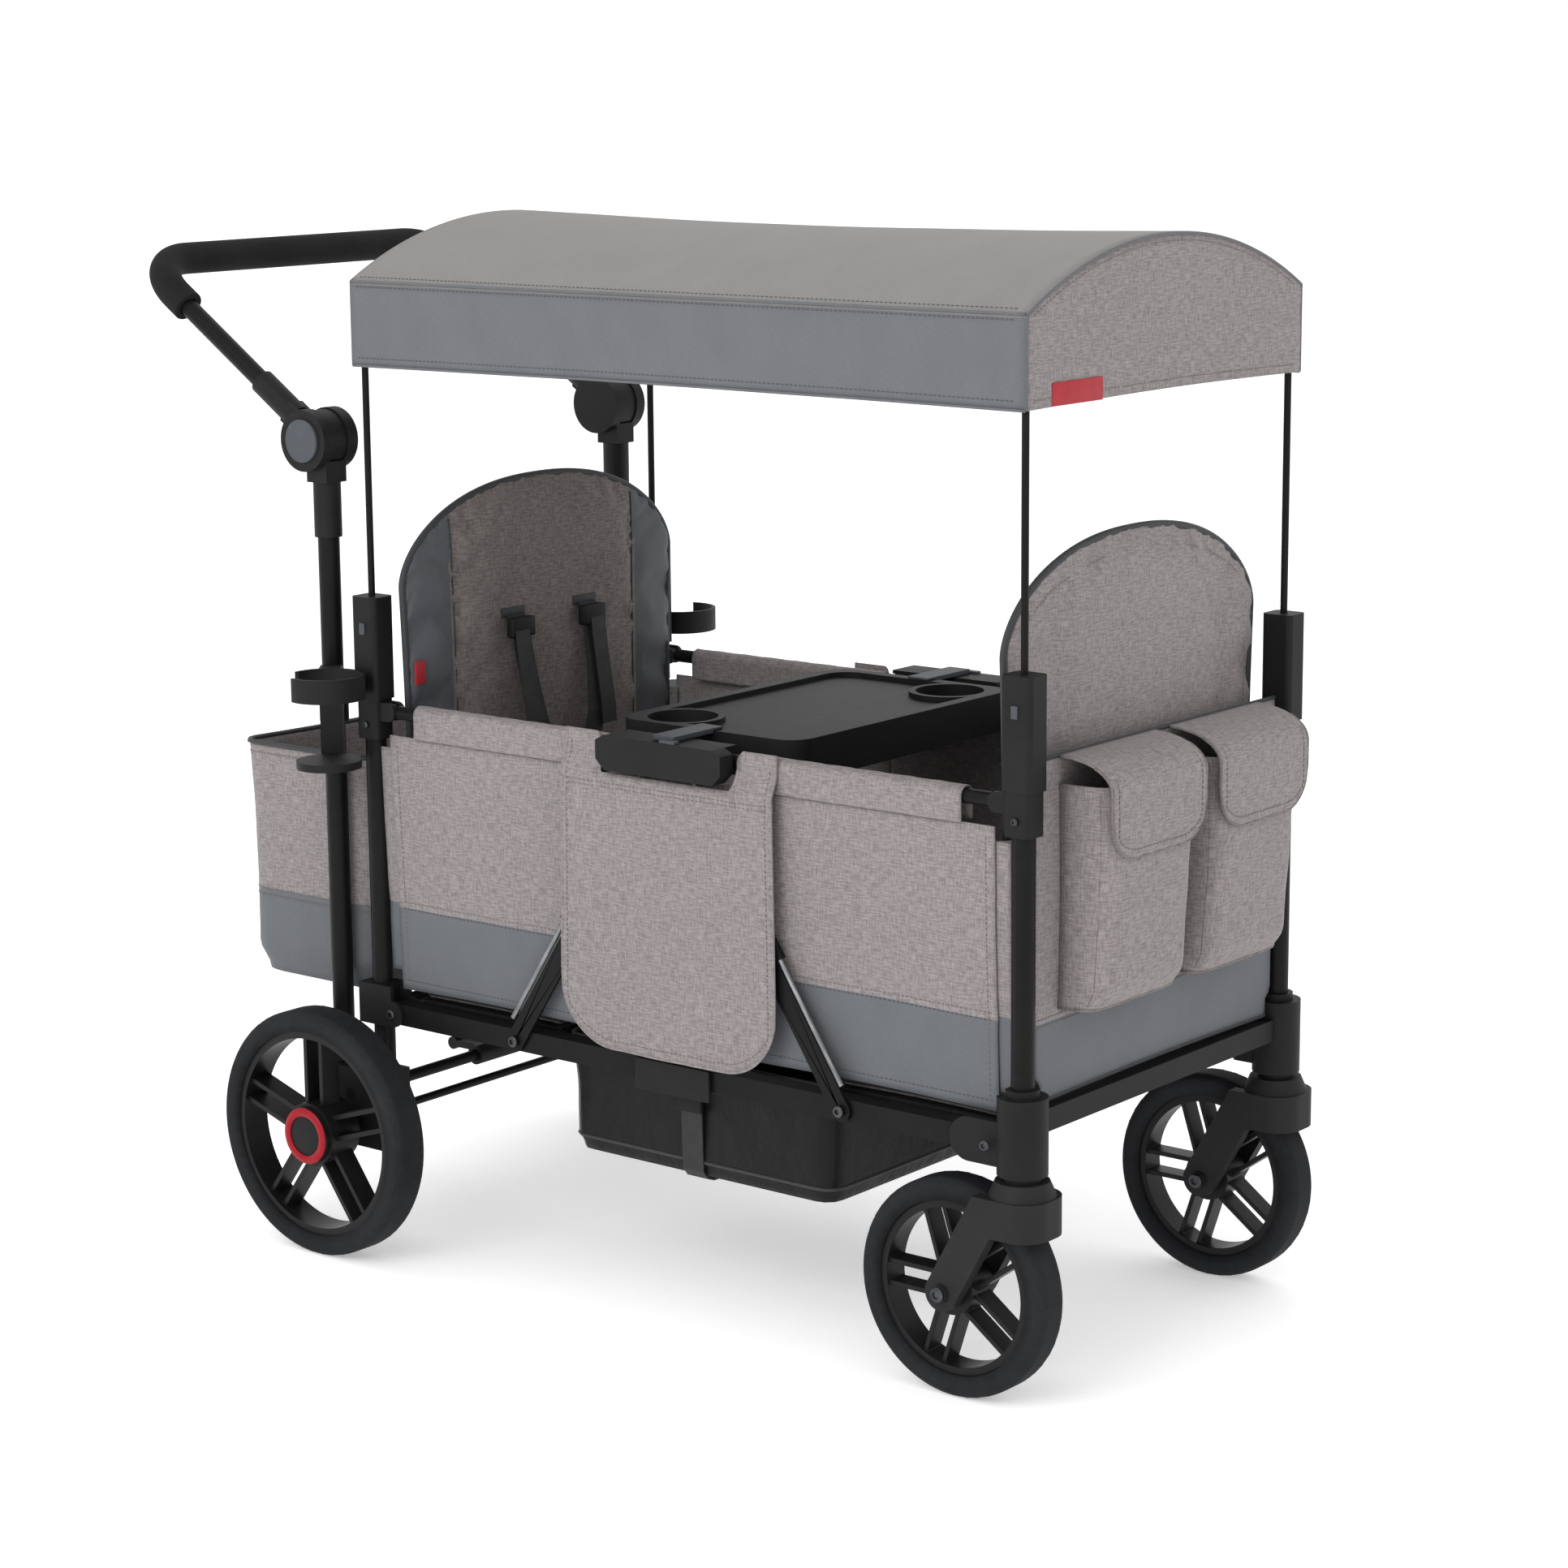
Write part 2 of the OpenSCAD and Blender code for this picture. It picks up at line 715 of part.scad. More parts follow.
module handle_grip() color(tyre_black) handle_plane() difference() {
    handle_u(grip_d, grip_from);
    handle_u(handle_d + 2 * fit_gap, grip_from - over);
}

// Cup holders, clamped to the handle posts

module cup_holder() placed() translate([handle_post_x, handle_post_y, 0]) rotate([0, 0, cup_bearing]) {
    cup_low_z = cup_ring_top_z - cup_holder_h;
    ring_od = cup_ring_d + 2 * cup_wall;
    difference() {
        union() {
            bar_z(ring_od, [cup_offset, 0], cup_ring_top_z - cup_ring_h, cup_ring_top_z);
            bar_z(cup_clamp_d, [0, 0], cup_ring_top_z - cup_ring_h - cup_clamp_h, cup_ring_top_z - cup_ring_h);
            block(
                [handle_post_d / 2, -cup_spine_w / 2, cup_low_z],
                [cup_offset - cup_ring_d / 2, cup_spine_w / 2, cup_ring_top_z]
            );
            block(
                [handle_post_d / 2, -cup_spine_w / 2, cup_low_z],
                [cup_offset, cup_spine_w / 2, cup_low_z + cup_base_t]
            );
            bar_z(cup_base_d, [cup_offset, 0], cup_low_z, cup_low_z + cup_base_t);
        }
        bar_z(cup_ring_d, [cup_offset, 0], cup_low_z + cup_base_t, cup_ring_top_z + over);
        bar_z(handle_post_d + 2 * fit_gap, [0, 0], cup_low_z - over, cup_ring_top_z + over);
        translate([cup_offset, 0, 0]) block(
            [-cup_gap_w / 2, 0, cup_ring_top_z - cup_ring_h - over],
            [cup_gap_w / 2, ring_od / 2 + over, cup_ring_top_z + over]
        );
    }
}

module cup_holders() color(plastic_black) both_sides() cup_holder();

// Wheels, drawn with the axle along Z and the outer face up

module tyre(d, w) rotate_extrude($fn = 128) {
    inner_r = d / 2 - tyre_t;
    translate([inner_r, 0]) square([tyre_t - tyre_edge_r, w]);
    translate([inner_r, tyre_edge_r]) square([tyre_t, w - 2 * tyre_edge_r]);
    for (y = [tyre_edge_r, w - tyre_edge_r]) translate([d / 2 - tyre_edge_r, y]) circle(tyre_edge_r);
}

module rim(d, w, hub, bore, bore_from, bore_to, cap, turn) {
    rim_od = d - 2 * tyre_t - 2 * fit_gap;
    rim_id = rim_od - 2 * rim_t;
    spoke_low = w * (1 - spoke_depth_share) / 2;
    difference() {
        union() {
            difference() {
                translate([0, 0, rim_inset]) cylinder(d = rim_od, h = w - 2 * rim_inset, $fn = 128);
                translate([0, 0, rim_inset - over]) cylinder(d = rim_id, h = w - 2 * rim_inset + 2 * over, $fn = 128);
            }
            cylinder(d = hub, h = w);
            if (cap > 0) translate([0, 0, w]) cylinder(d = hub_cap_d, h = cap);
            for (i = [0:spoke_pairs - 1], side = [-1, 1]) rotate([0, 0, turn + 360 * i / spoke_pairs])
                translate([hub * spoke_root_share, side * spoke_pitch / 2 - spoke_w / 2, spoke_low])
                    cube([rim_id / 2 + rim_t / 2 - hub * spoke_root_share, spoke_w, w * spoke_depth_share]);
        }
        translate([0, 0, bore_from]) cylinder(d = bore, h = bore_to - bore_from);
    }
}

module on_rear_axle() placed() translate([rear_axle_x, wheel_inner_y, rear_axle_z]) rotate([-90, 0, 0]) children();

module rear_rim() on_rear_axle() rim(
    rear_wheel_d, rear_tyre_w, hub_d, axle_d + 2 * run_gap, -over, rear_tyre_w - axle_cover + seat_gap, hub_cap_h,
    rear_spoke_turn
);

module rear_tyre_left() color(tyre_black) on_rear_axle() tyre(rear_wheel_d, rear_tyre_w);

module rear_rim_left() color(plastic_black) rear_rim();

module rear_tyre_right() color(tyre_black) right_side() on_rear_axle() tyre(rear_wheel_d, rear_tyre_w);

module rear_rim_right() color(plastic_black) right_side() rear_rim();

module on_front_axle() placed()
    translate([front_axle_x, py - front_tyre_w / 2, front_axle_z]) rotate([-90, 0, 0]) children();

module front_rim() on_front_axle() rim(
    front_wheel_d, front_tyre_w, front_hub_d, fork_bolt_d + 2 * run_gap, -over, front_tyre_w + over, 0,
    front_spoke_turn
);

module front_tyre_left() color(tyre_black) on_front_axle() tyre(front_wheel_d, front_tyre_w);

module front_rim_left() color(plastic_black) front_rim();

module front_tyre_right() color(tyre_black) right_side() on_front_axle() tyre(front_wheel_d, front_tyre_w);

module front_rim_right() color(plastic_black) right_side() front_rim();

// Caster forks

fork_top_z = corner_low_z - seat_gap - stem_collar_h;
fork_low_z = fork_top_z - fork_cap_h;
fork_neck_z = fork_top_z - fork_bell_h;
fork_mid_x = px + (fork_cap_front - fork_cap_back) / 2;
fork_half_y = front_tyre_w / 2 + fork_side_gap + fork_leg_t;
fork_axle = [front_axle_x, front_axle_z];
fork_lean = [px - fork_cap_back / 2 - front_axle_x, fork_low_z + fork_cap_h / 2 - front_axle_z];
fork_dir = fork_lean / norm(fork_lean);
fork_across = [fork_dir[1], -fork_dir[0]] * fork_eye_d / 2;

// Point where a line along the leg reaches a height
function leg_point(from, z) = from + fork_dir * (z - from[1]) / fork_dir[1];

module fork() placed() {
    difference() {
        union() {
            plate_xz(
                [
                    fork_axle - fork_across,
                    leg_point(fork_axle - fork_across, fork_neck_z),
                    [px, fork_neck_z],
                    [px, fork_low_z],
                    leg_point(fork_axle + fork_across, fork_low_z),
                    fork_axle + fork_across
                ],
                py - fork_half_y, py + fork_half_y
            );
            bar_y(fork_eye_d, fork_axle, py - fork_half_y, py + fork_half_y);
            rounded_post(
                fork_cap_front + fork_cap_back, 2 * fork_half_y, fork_cap_r, [fork_mid_x, py], fork_low_z, fork_neck_z
            );
            translate([px, py, fork_neck_z]) cylinder(d1 = fork_bell_low_d, d2 = fork_bell_top_d, h = fork_bell_h);
        }
        bar_y(
            front_wheel_d + 2 * fork_gap, fork_axle,
            py - front_tyre_w / 2 - fork_side_gap, py + front_tyre_w / 2 + fork_side_gap
        );
    }
    bar_z(stem_collar_d, [px, py], fork_top_z, fork_top_z + stem_collar_h);
    bar_z(stem_d, [px, py], fork_top_z, corner_low_z + stem_h);
    bar_y(fork_bolt_d, fork_axle, py - fork_half_y - fork_bolt_head_t, py + fork_half_y + fork_bolt_head_t);
    for (y = [py - fork_half_y - fork_bolt_head_t, py + fork_half_y])
        bar_y(fork_bolt_head_d, fork_axle, y, y + fork_bolt_head_t);
    for (y = [py - front_tyre_w / 2 - fork_side_gap, py + front_tyre_w / 2 + seat_gap])
        bar_y(fork_bolt_head_d, fork_axle, y, y + fork_side_gap - seat_gap);
}

module fork_left() color(plastic_black) fork();

module fork_right() color(plastic_black) right_side() fork();

// Front end frame

module front_posts() color(frame_black) placed() {
    union() {
        both_sides() pipe_z(post_d, [px, py], front_post_low_z, post_top_z);
        pipe_y(cross_tube_d, [px - cross_tube_inset, cross_tube_z], -py, py);
    }
    difference() {
        half_y = py - corner_d / 2 - seat_gap;
        block([px - rail_w / 2, -half_y, front_bar_z - rail_w / 2], [px + rail_w / 2, half_y, front_bar_z + rail_w / 2]);
        block(
            [px - rail_w / 2 + tube_wall, -half_y - over, front_bar_z - rail_w / 2 + tube_wall],
            [px + rail_w / 2 - tube_wall, half_y + over, front_bar_z + rail_w / 2 - tube_wall]
        );
    }
}

module front_brackets() color(plastic_black) placed() both_sides() {
    difference() {
        union() {
            bar_z(corner_d, [px, py], corner_low_z, corner_top_z);
            bar_z(corner_collar_d, [px, py], corner_top_z, corner_top_z + corner_collar_h);
            block(
                [pivot_x - corner_arm_len + corner_arm_up, py - clevis_half_y, lower_rail_z - corner_arm_up],
                [px, py + clevis_half_y, lower_rail_z + corner_arm_up]
            );
            bar_y(
                2 * corner_arm_up, [pivot_x - corner_arm_len + corner_arm_up, lower_rail_z],
                py - clevis_half_y, py + clevis_half_y
            );
        }
        block(
            [pivot_x - corner_arm_len - over, py - rail_w / 2 - side_gap, lower_rail_z - tail_swing],
            [pivot_x + tail_swing, py + rail_w / 2 + side_gap, corner_top_z + corner_collar_h + over]
        );
        block(
            [pivot_x - corner_arm_len - over, py - clevis_half_y - over, lower_rail_z - corner_arm_up - over],
            [pivot_x - corner_cheek_reach, py - rail_w / 2, lower_rail_z + corner_arm_up + over]
        );
        block(
            [pivot_x - corner_cheek_reach - over, py - clevis_half_y - over, lower_rail_z + corner_cheek_reach],
            [pivot_x, py - rail_w / 2, lower_rail_z + corner_arm_up + over]
        );
        bar_z(post_d + 2 * fit_gap, [px, py], front_post_low_z - fit_gap, corner_top_z + corner_collar_h + over);
        bar_z(stem_d + 2 * run_gap, [px, py], corner_low_z - over, corner_low_z + stem_h + seat_gap);
    }
    bar_y(rail_pin_d, [pivot_x, lower_rail_z], py - clevis_half_y, py + clevis_half_y);
}

// Rod sockets on the post heads, with the lug for the upper rail and the pocket of the release button

module socket(pin_d) placed() {
    lug_half_y = eye_t / 2 + side_gap + lug_t;
    difference() {
        union() {
            rounded_post(socket_x, socket_y, socket_r, [px, py], socket_step_z, socket_top_z);
            rounded_post(clamp_x, clamp_y, socket_r, [px, py], socket_low_z, socket_step_z);
            block(
                [pivot_x, py - lug_half_y, upper_rail_z - lug_d / 2],
                [px - post_d / 2, py + lug_half_y, upper_rail_z + lug_d / 2]
            );
            bar_y(lug_d, [pivot_x, upper_rail_z], py - lug_half_y, py + lug_half_y);
        }
        block(
            [pivot_x - lug_d, py - eye_t / 2 - side_gap, upper_rail_z - lug_d],
            [pivot_x + eye_d / 2 + side_gap, py + eye_t / 2 + side_gap, upper_rail_z + lug_d]
        );
        bar_z(post_d + 2 * fit_gap, [px, py], socket_low_z - over, post_top_z + fit_gap);
        bar_z(rod_d + 2 * run_gap, [px, py], post_top_z, socket_top_z + over);
        block(
            [px - button_w / 2 - seat_gap, py + socket_y / 2 - button_depth, button_z - button_h / 2 - seat_gap],
            [px + button_w / 2 + seat_gap, py + socket_y / 2 + over, button_z + button_h / 2 + seat_gap]
        );
    }
    bar_y(pin_d, [pivot_x, upper_rail_z], py - lug_half_y, py + lug_half_y);
}

module rear_rod_sockets() color(plastic_black) both_sides()
    translate([-2 * mid_x, 0, 0]) rear_end() socket(eye_pin_d);

module front_rod_sockets() color(plastic_black) both_sides() socket(loose_pin_d);

module rod_button(end_x) placed() block(
    [end_x - button_w / 2, py + socket_y / 2 - button_depth + button_travel + seat_gap, button_z - button_h / 2],
    [end_x + button_w / 2, py + socket_y / 2 + button_proud, button_z + button_h / 2]
);

module rod_button_rear_left() color(cap_grey) rod_button(-px);

module rod_button_rear_right() color(cap_grey) right_side() rod_button(-px);

module rod_button_front_left() color(cap_grey) rod_button(px);

module rod_button_front_right() color(cap_grey) right_side() rod_button(px);

// Lower rails, drawn for the front half

module lower_rails() {
    rail_in = rail_w / 2 - tube_wall;
    both_sides() {
        difference() {
            block(
                [link_half - rail_tail, py - rail_w / 2, lower_rail_z - rail_w / 2],
                [pivot_x + rail_tail, py + rail_w / 2, lower_rail_z + rail_w / 2]
            );
            block(
                [link_half - rail_tail - over, py - rail_in, lower_rail_z - rail_in],
                [pivot_x + rail_tail + over, py + rail_in, lower_rail_z + rail_in]
            );
            for (x = [link_half, pivot_x])
                bar_y(rail_pin_d + 2 * run_gap, [x, lower_rail_z], py - rail_w / 2 - over, py + rail_w / 2 + over);
        }
        bar_y(
            strut_stud_d, [strut_foot_x, lower_rail_z],
            py + rail_in, strut_y + strut_t + seat_gap
        );
        bar_y(
            2 * strut_stud_d, [strut_foot_x, lower_rail_z],
            strut_y + strut_t + seat_gap, strut_y + strut_t + seat_gap + strut_t / 2
        );
    }
    for (x = [footwell_half, floor_tube_x_far])
        pipe_y(floor_tube_d, [x, lower_rail_z], -py + rail_in, py - rail_in);
}

module lower_rails_front() color(frame_black) placed() lower_rails();

module lower_rails_rear() color(frame_black) placed() rear_end() lower_rails();

module floor_board() block(
    [footwell_half - floor_tube_d / 2, -board_half_y, board_z], [board_end_x, board_half_y, board_z + board_t]
);

module floor_board_front() color(nylon_black) placed() floor_board();

module floor_board_rear() color(nylon_black) placed() rear_end() floor_board();

// Link between the inner ends of the lower rails, with its two pins
link_len = link_half + rail_w / 2 + cheek_t;
link_low_z = lower_rail_z - rail_w / 2 - cheek_t - side_gap - rail_tail;

module floor_link() color(plastic_black) placed() both_sides() {
    difference() {
        block(
            [-link_len, py - clevis_half_y, link_low_z],
            [link_len, py + clevis_half_y, lower_rail_z + rail_w / 2]
        );
        block(
            [-link_len - over, py - rail_w / 2 - side_gap, link_low_z - over],
            [link_len + over, py + rail_w / 2 + side_gap, lower_rail_z + rail_w / 2 + over]
        );
    }
    for (x = [-link_half, link_half])
        bar_y(rail_pin_d, [x, lower_rail_z], py - clevis_half_y, py + clevis_half_y);
    block(
        [-link_half + rail_tail + tail_swing, py - clevis_half_y, lower_rail_z - cheek_t / 2],
        [link_half - rail_tail - tail_swing, py + clevis_half_y, lower_rail_z + cheek_t / 2]
    );
}

// Upper rails, drawn for the front half: the tube stops short of the lugs, and a flat neck carries the eye

rail_end_x = pivot_x - lug_d / 2 - side_gap;

module upper_rails(outer_bore) both_sides() difference() {
    union() {
        pipe_x(upper_rail_d, [py, upper_rail_z], link_half + eye_d / 2 - eye_rim, rail_end_x);
        block(
            [rail_end_x - eye_t, py - eye_t / 2, upper_rail_z - upper_rail_d / 2 + 2 * eye_rim],
            [pivot_x, py + eye_t / 2, upper_rail_z + upper_rail_d / 2 - 2 * eye_rim]
        );
        for (x = [link_half, pivot_x]) bar_y(eye_d, [x, upper_rail_z], py - eye_t / 2, py + eye_t / 2);
    }
    bar_y(eye_pin_d + 2 * run_gap, [link_half, upper_rail_z], py - eye_t, py + eye_t);
    bar_y(outer_bore, [pivot_x, upper_rail_z], py - eye_t, py + eye_t);
}

module upper_rails_front() color(frame_black) placed() upper_rails(eye_pin_d + 2 * side_gap);

module upper_rails_rear() color(frame_black) placed() rear_end() upper_rails(eye_pin_d + 2 * run_gap);

// Lock housings over the inner ends of the upper rails

lock_button_y = lock_outer_y - lock_t / 4;

module lock_housings() color(plastic_black) placed() both_sides() difference() {
    union() {
        plate_xz(
            [
                [-lock_half + lock_chamfer, lock_low_z], [lock_half - lock_chamfer, lock_low_z],
                [lock_half, lock_low_z + lock_chamfer], [lock_half, lock_top_z - lock_chamfer / 2],
                [lock_half - lock_chamfer, lock_top_z], [-lock_half + lock_chamfer, lock_top_z],
                [-lock_half, lock_top_z - lock_chamfer / 2], [-lock_half, lock_low_z + lock_chamfer]
            ],
            lock_inner_y, lock_outer_y
        );
        block(
            [-lock_half + lock_chamfer, py - eye_t, lock_top_z - lock_roof_t],
            [lock_half - lock_chamfer, lock_outer_y - lock_t / 2, lock_top_z]
        );
        for (x = [-link_half, link_half]) {
            bar_y(eye_pin_d, [x, upper_rail_z], py - eye_t / 2, lock_outer_y - lock_t / 2);
            bar_y(lock_boss_d, [x, upper_rail_z], py + eye_t / 2 + side_gap, lock_outer_y - lock_t / 2);
        }
    }
    block(
        [
            lock_button_x - lock_button_w / 2 - seat_gap, lock_button_y - lock_button_d / 2 - seat_gap,
            lock_top_z - lock_button_depth - lock_button_travel - side_gap
        ],
        [
            lock_button_x + lock_button_w / 2 + seat_gap, lock_button_y + lock_button_d / 2 + seat_gap,
            lock_top_z + over
        ]
    );
}

module lock_buttons() color(cap_grey) placed() both_sides() block(
    [
        lock_button_x - lock_button_w / 2, lock_button_y - lock_button_d / 2,
        lock_top_z - lock_button_depth
    ],
    [
        lock_button_x + lock_button_w / 2, lock_button_y + lock_button_d / 2,
        lock_top_z + lock_button_proud
    ]
);

// Telescoping struts, drawn for the front half with the foot at the origin and the head along X

module along_strut() translate([strut_foot_x, 0, lower_rail_z]) rotate([0, strut_angle - 180, 0]) children();

module struts() along_strut() {
    bar_len = strut_len * strut_bar_share;
    sleeve_from = strut_len * sleeve_from_share;
    both_sides() difference() {
        union() {
            block([0, strut_y, -strut_w / 2], [bar_len, strut_y + strut_t, strut_w / 2]);
            bar_y(strut_w, [0, 0], strut_y, strut_y + strut_t);
            block(
                [sleeve_from, strut_y, -strut_rod_offset - strut_rod_d / 2 - sleeve_wall],
                [sleeve_from + sleeve_len, strut_y + strut_t + sleeve_wall, strut_w / 2 + sleeve_wall]
            );
        }
        bar_y(strut_stud_d + 2 * run_gap, [0, 0], strut_y - over, strut_y + strut_t + over);
        bar_x(
            strut_rod_d + 2 * run_gap, [strut_y + strut_rod_d / 2 + side_gap, -strut_rod_offset],
            sleeve_from - over, sleeve_from + sleeve_len + over
        );
    }
}

module struts_front() color(frame_black) placed() struts();

module struts_rear() color(frame_black) placed() rear_end() struts();

strut_rod_from = 22;
strut_head_d = 14;

module strut_rods() along_strut() both_sides() {
    rod_y = strut_y + strut_rod_d / 2 + side_gap;
    rod_end = strut_len - strut_rod_d;
    bar_x(strut_rod_d, [rod_y, -strut_rod_offset], strut_rod_from, rod_end);
    block(
        [rod_end - strut_rod_d, rod_y - strut_t / 2, -strut_rod_offset],
        [rod_end, rod_y + strut_t / 2, 0]
    );
    bar_y(strut_head_d, [strut_len - strut_head_d / 2, 0], rod_y - strut_t / 2, rod_y + strut_t / 2);
}

module strut_rods_front() color(rod_steel) placed() strut_rods();

module strut_rods_rear() color(rod_steel) placed() rear_end() strut_rods();

// Seat cushions: crowned, seamed at the rim, drawn in at the sides, with two sewn channels in the back

seat_half_w = seat_back_w / 2;
seat_channel_y = 162;
seat_channel_w = 14;
seat_channel_share = 0.45;

function seat_top_z(y) =
    seat_shoulder_z + (seat_crown_z - seat_shoulder_z) * pow(max(0, 1 - pow(abs(y) / seat_half_w, 2.3)), 0.58);

function seat_channel(y) = 1 - seat_channel_share * exp(-pow((abs(y) - seat_channel_y) / seat_channel_w, 2));

// Columns gather towards the rim, where the seam curves most
function gather(u) = (1 - cos(180 * u)) / 2;

function seat_point(u, v, side) =
    let (y = seat_half_w * (2 * gather(u) - 1))
    let (z = seat_back_low_z + (seat_top_z(y) - seat_back_low_z) * gather(v))
    let (half = seat_seam_t / 2 + (seat_back_t - seat_seam_t) / 2 * fullness(gather(u), gather(v)) * seat_channel(y))
    [seat_x + side * half, y * (1 - seat_draw_share * sin(180 * v)), z];

module seat_back() skin(20, 18, function(u, v) seat_point(u, v, 1), function(u, v) seat_point(u, v, -1));

module front_seat_back() color(heather) placed() seat_back();

module rear_seat_back() color(heather) placed() rear_end() seat_back();

pad_low_z = board_z + board_t + seat_gap;

function pad_point(u, v, top) =
    let (x = footwell_half + (board_end_x - footwell_half) * gather(u))
    let (y = pad_half_y * (2 * gather(v) - 1))
    let (rise = pad_seam_t + (seat_pad_t - pad_seam_t) * fullness(gather(u), gather(v)))
    [x, y * (1 - seat_draw_share * sin(180 * u)), pad_low_z + top * rise];

module seat_pad() skin(10, 14, function(u, v) pad_point(u, v, 1), function(u, v) pad_point(u, v, 0));

module front_seat_pad() color(heather) placed() seat_pad();

module rear_seat_pad() color(heather) placed() rear_end() seat_pad();

// Side panels, drawn for the front half: a sheet with gentle folds under a hem that wraps the upper rail

panel_top_y = py + hem_r - cloth_t - side_gap;
panel_low_y = py - panel_bow;
panel_fold_pitch = 150;

function panel_point(u, v, side) =
    let (x = side_gap + (pivot_x - seat_gap - side_gap) * u)
    let (fold = panel_ripple * sin(360 * x / panel_fold_pitch + 90 * v) * sin(180 * v))
    let (y = panel_low_y + (panel_top_y - panel_low_y) * v + panel_ripple * sin(180 * v) + fold)
    [x, y + side * cloth_t / 2, panel_low_z + (panel_top_z - panel_low_z) * v];

function hem_arc(r, from, to) =
    [for (k = [0:8]) let (a = from + (to - from) * k / 8) [py + r * cos(a), upper_rail_z + r * sin(a)]];

module panel_hem() plate_yz(
    concat(
        [[py + hem_r + cloth_t / 2, panel_top_z + seat_gap]],
        hem_arc(hem_r + cloth_t / 2, 0, 180),
        [
            [py - hem_r - cloth_t / 2, upper_rail_z - hem_tail],
            [py - hem_r + cloth_t / 2, upper_rail_z - hem_tail]
        ],
        hem_arc(hem_r - cloth_t / 2, 180, 0),
        [[py + hem_r - cloth_t / 2, panel_top_z + seat_gap]]
    ),
    lock_half + lock_clear, hem_half
);

module side_panels() both_sides() {
    skin(14, 8, function(u, v) panel_point(u, v, -1), function(u, v) panel_point(u, v, 1));
    panel_hem();
}

module side_panels_front() color(heather) placed() side_panels();

module side_panels_rear() color(heather) placed() rear_end() side_panels();

// Side aprons that hang over the struts, notched round the lock housings

apron_half = apron_w / 2;
apron_notch = lock_half + lock_clear;
apron_corner_r = 70;
apron_flare_share = 0.03;
apron_top_y = py + hem_r + cloth_t + seat_gap;
apron_low_y = py + apron_out;
apron_hold = 19;
apron_bend = 28;

function apron_x(u) =
    let (s = abs(2 * u - 1), side = sign(2 * u - 1))
    side * (s <= 0.5
        ? apron_notch * s / 0.5
        : apron_notch + (apron_half - apron_notch) * sin(90 * (s - 0.5) / 0.5));

function apron_z_top(x) = abs(x) <= apron_notch + over ? apron_notch_z : apron_top_z;

function apron_z_low(x) =
    let (into = max(0, abs(x) - (apron_half - apron_corner_r)))
    apron_low_z + apron_corner_r - sqrt(max(0, pow(apron_corner_r, 2) - pow(into, 2)));

function apron_point(u, v, side) =
    let (x = apron_x(u))
    let (z = apron_z_low(x) + (apron_z_top(x) - apron_z_low(x)) * v)
    let (lift = min(1, max(0, (apron_top_z - apron_hold - z) / apron_bend)))
    let (fold = apron_ripple * sin(360 * x / apron_half) * (1 - v))
    let (y = apron_top_y + (apron_low_y - apron_top_y) * (3 - 2 * lift) * lift * lift + fold)
    [x * (1 + apron_flare_share * (1 - v)), y + side * cloth_t / 2, z];

module side_aprons() color(heather) placed() both_sides()
    skin(16, 12, function(u, v) apron_point(u, v, -1), function(u, v) apron_point(u, v, 1));

// Rear basket, an open shell with a rounded lower rear edge

function basket_outline(inset, top_z) =
    let (r = basket_r - inset)
    let (x_back = basket_front_x - basket_depth + inset, z_low = basket_low_z + inset)
    concat(
        [[basket_front_x - inset, top_z], [basket_front_x - inset, z_low]],
        [for (k = [0:8]) let (a = 270 - 90 * k / 8) [x_back + r + r * cos(a), z_low + r + r * sin(a)]],
        [[x_back, top_z]]
    );

module rear_basket() color(heather) placed() difference() {
    plate_xz(basket_outline(0, basket_top_z), -basket_half_y, basket_half_y);
    plate_xz(basket_outline(cloth_t, basket_top_z + over), -basket_half_y + cloth_t, basket_half_y - cloth_t);
}

// Footwell, an open fabric tub between the seats

footwell_top_half = footwell_half - floor_tube_d / 2 - side_gap;

module footwell() color(nylon_black) placed() difference() {
    low_half = footwell_top_half - footwell_slope;
    plate_xz(
        [
            [-low_half, footwell_low_z], [low_half, footwell_low_z],
            [footwell_top_half, footwell_top_z], [-footwell_top_half, footwell_top_z]
        ],
        -footwell_half_y, footwell_half_y
    );
    plate_xz(
        [
            [-low_half + cloth_t, footwell_low_z + cloth_t], [low_half - cloth_t, footwell_low_z + cloth_t],
            [footwell_top_half - cloth_t, footwell_top_z + over], [-footwell_top_half + cloth_t, footwell_top_z + over]
        ],
        -footwell_half_y + cloth_t, footwell_half_y - cloth_t
    );
}

// Front panel and its two flapped pockets

module front_panel() color(heather) placed() {
    foot_half_y = py - corner_d / 2 - seat_gap;
    step_z = corner_top_z + corner_collar_h + seat_gap;
    plate_yz(
        [
            [-foot_half_y, front_panel_low_z], [foot_half_y, front_panel_low_z], [foot_half_y, step_z],
            [front_panel_half_y, step_z], [front_panel_half_y, pocket_top_z],
            [-front_panel_half_y, pocket_top_z], [-front_panel_half_y, step_z], [-foot_half_y, step_z]
        ],
        front_panel_x, front_panel_x + cloth_t
    );
}

pocket_mouth = 20;

// Side view of a pocket: full depth at the mouth, tapered towards its foot
function pocket_outline(inset, top_z) = [
    [pocket_x + inset, pocket_low_z + inset], [pocket_x + pocket_depth - pocket_taper - inset, pocket_low_z + inset],
    [pocket_x + pocket_depth - inset, pocket_top_z - flap_drop], [pocket_x + pocket_depth - inset, top_z],
    [pocket_x + inset, top_z]
];

function flap_arc(r) = [
    for (k = [0:8]) let (a = 90 - 90 * k / 8)
    [flap_x + flap_t - flap_r + r * cos(a), pocket_top_z - flap_r + r * sin(a)]
];

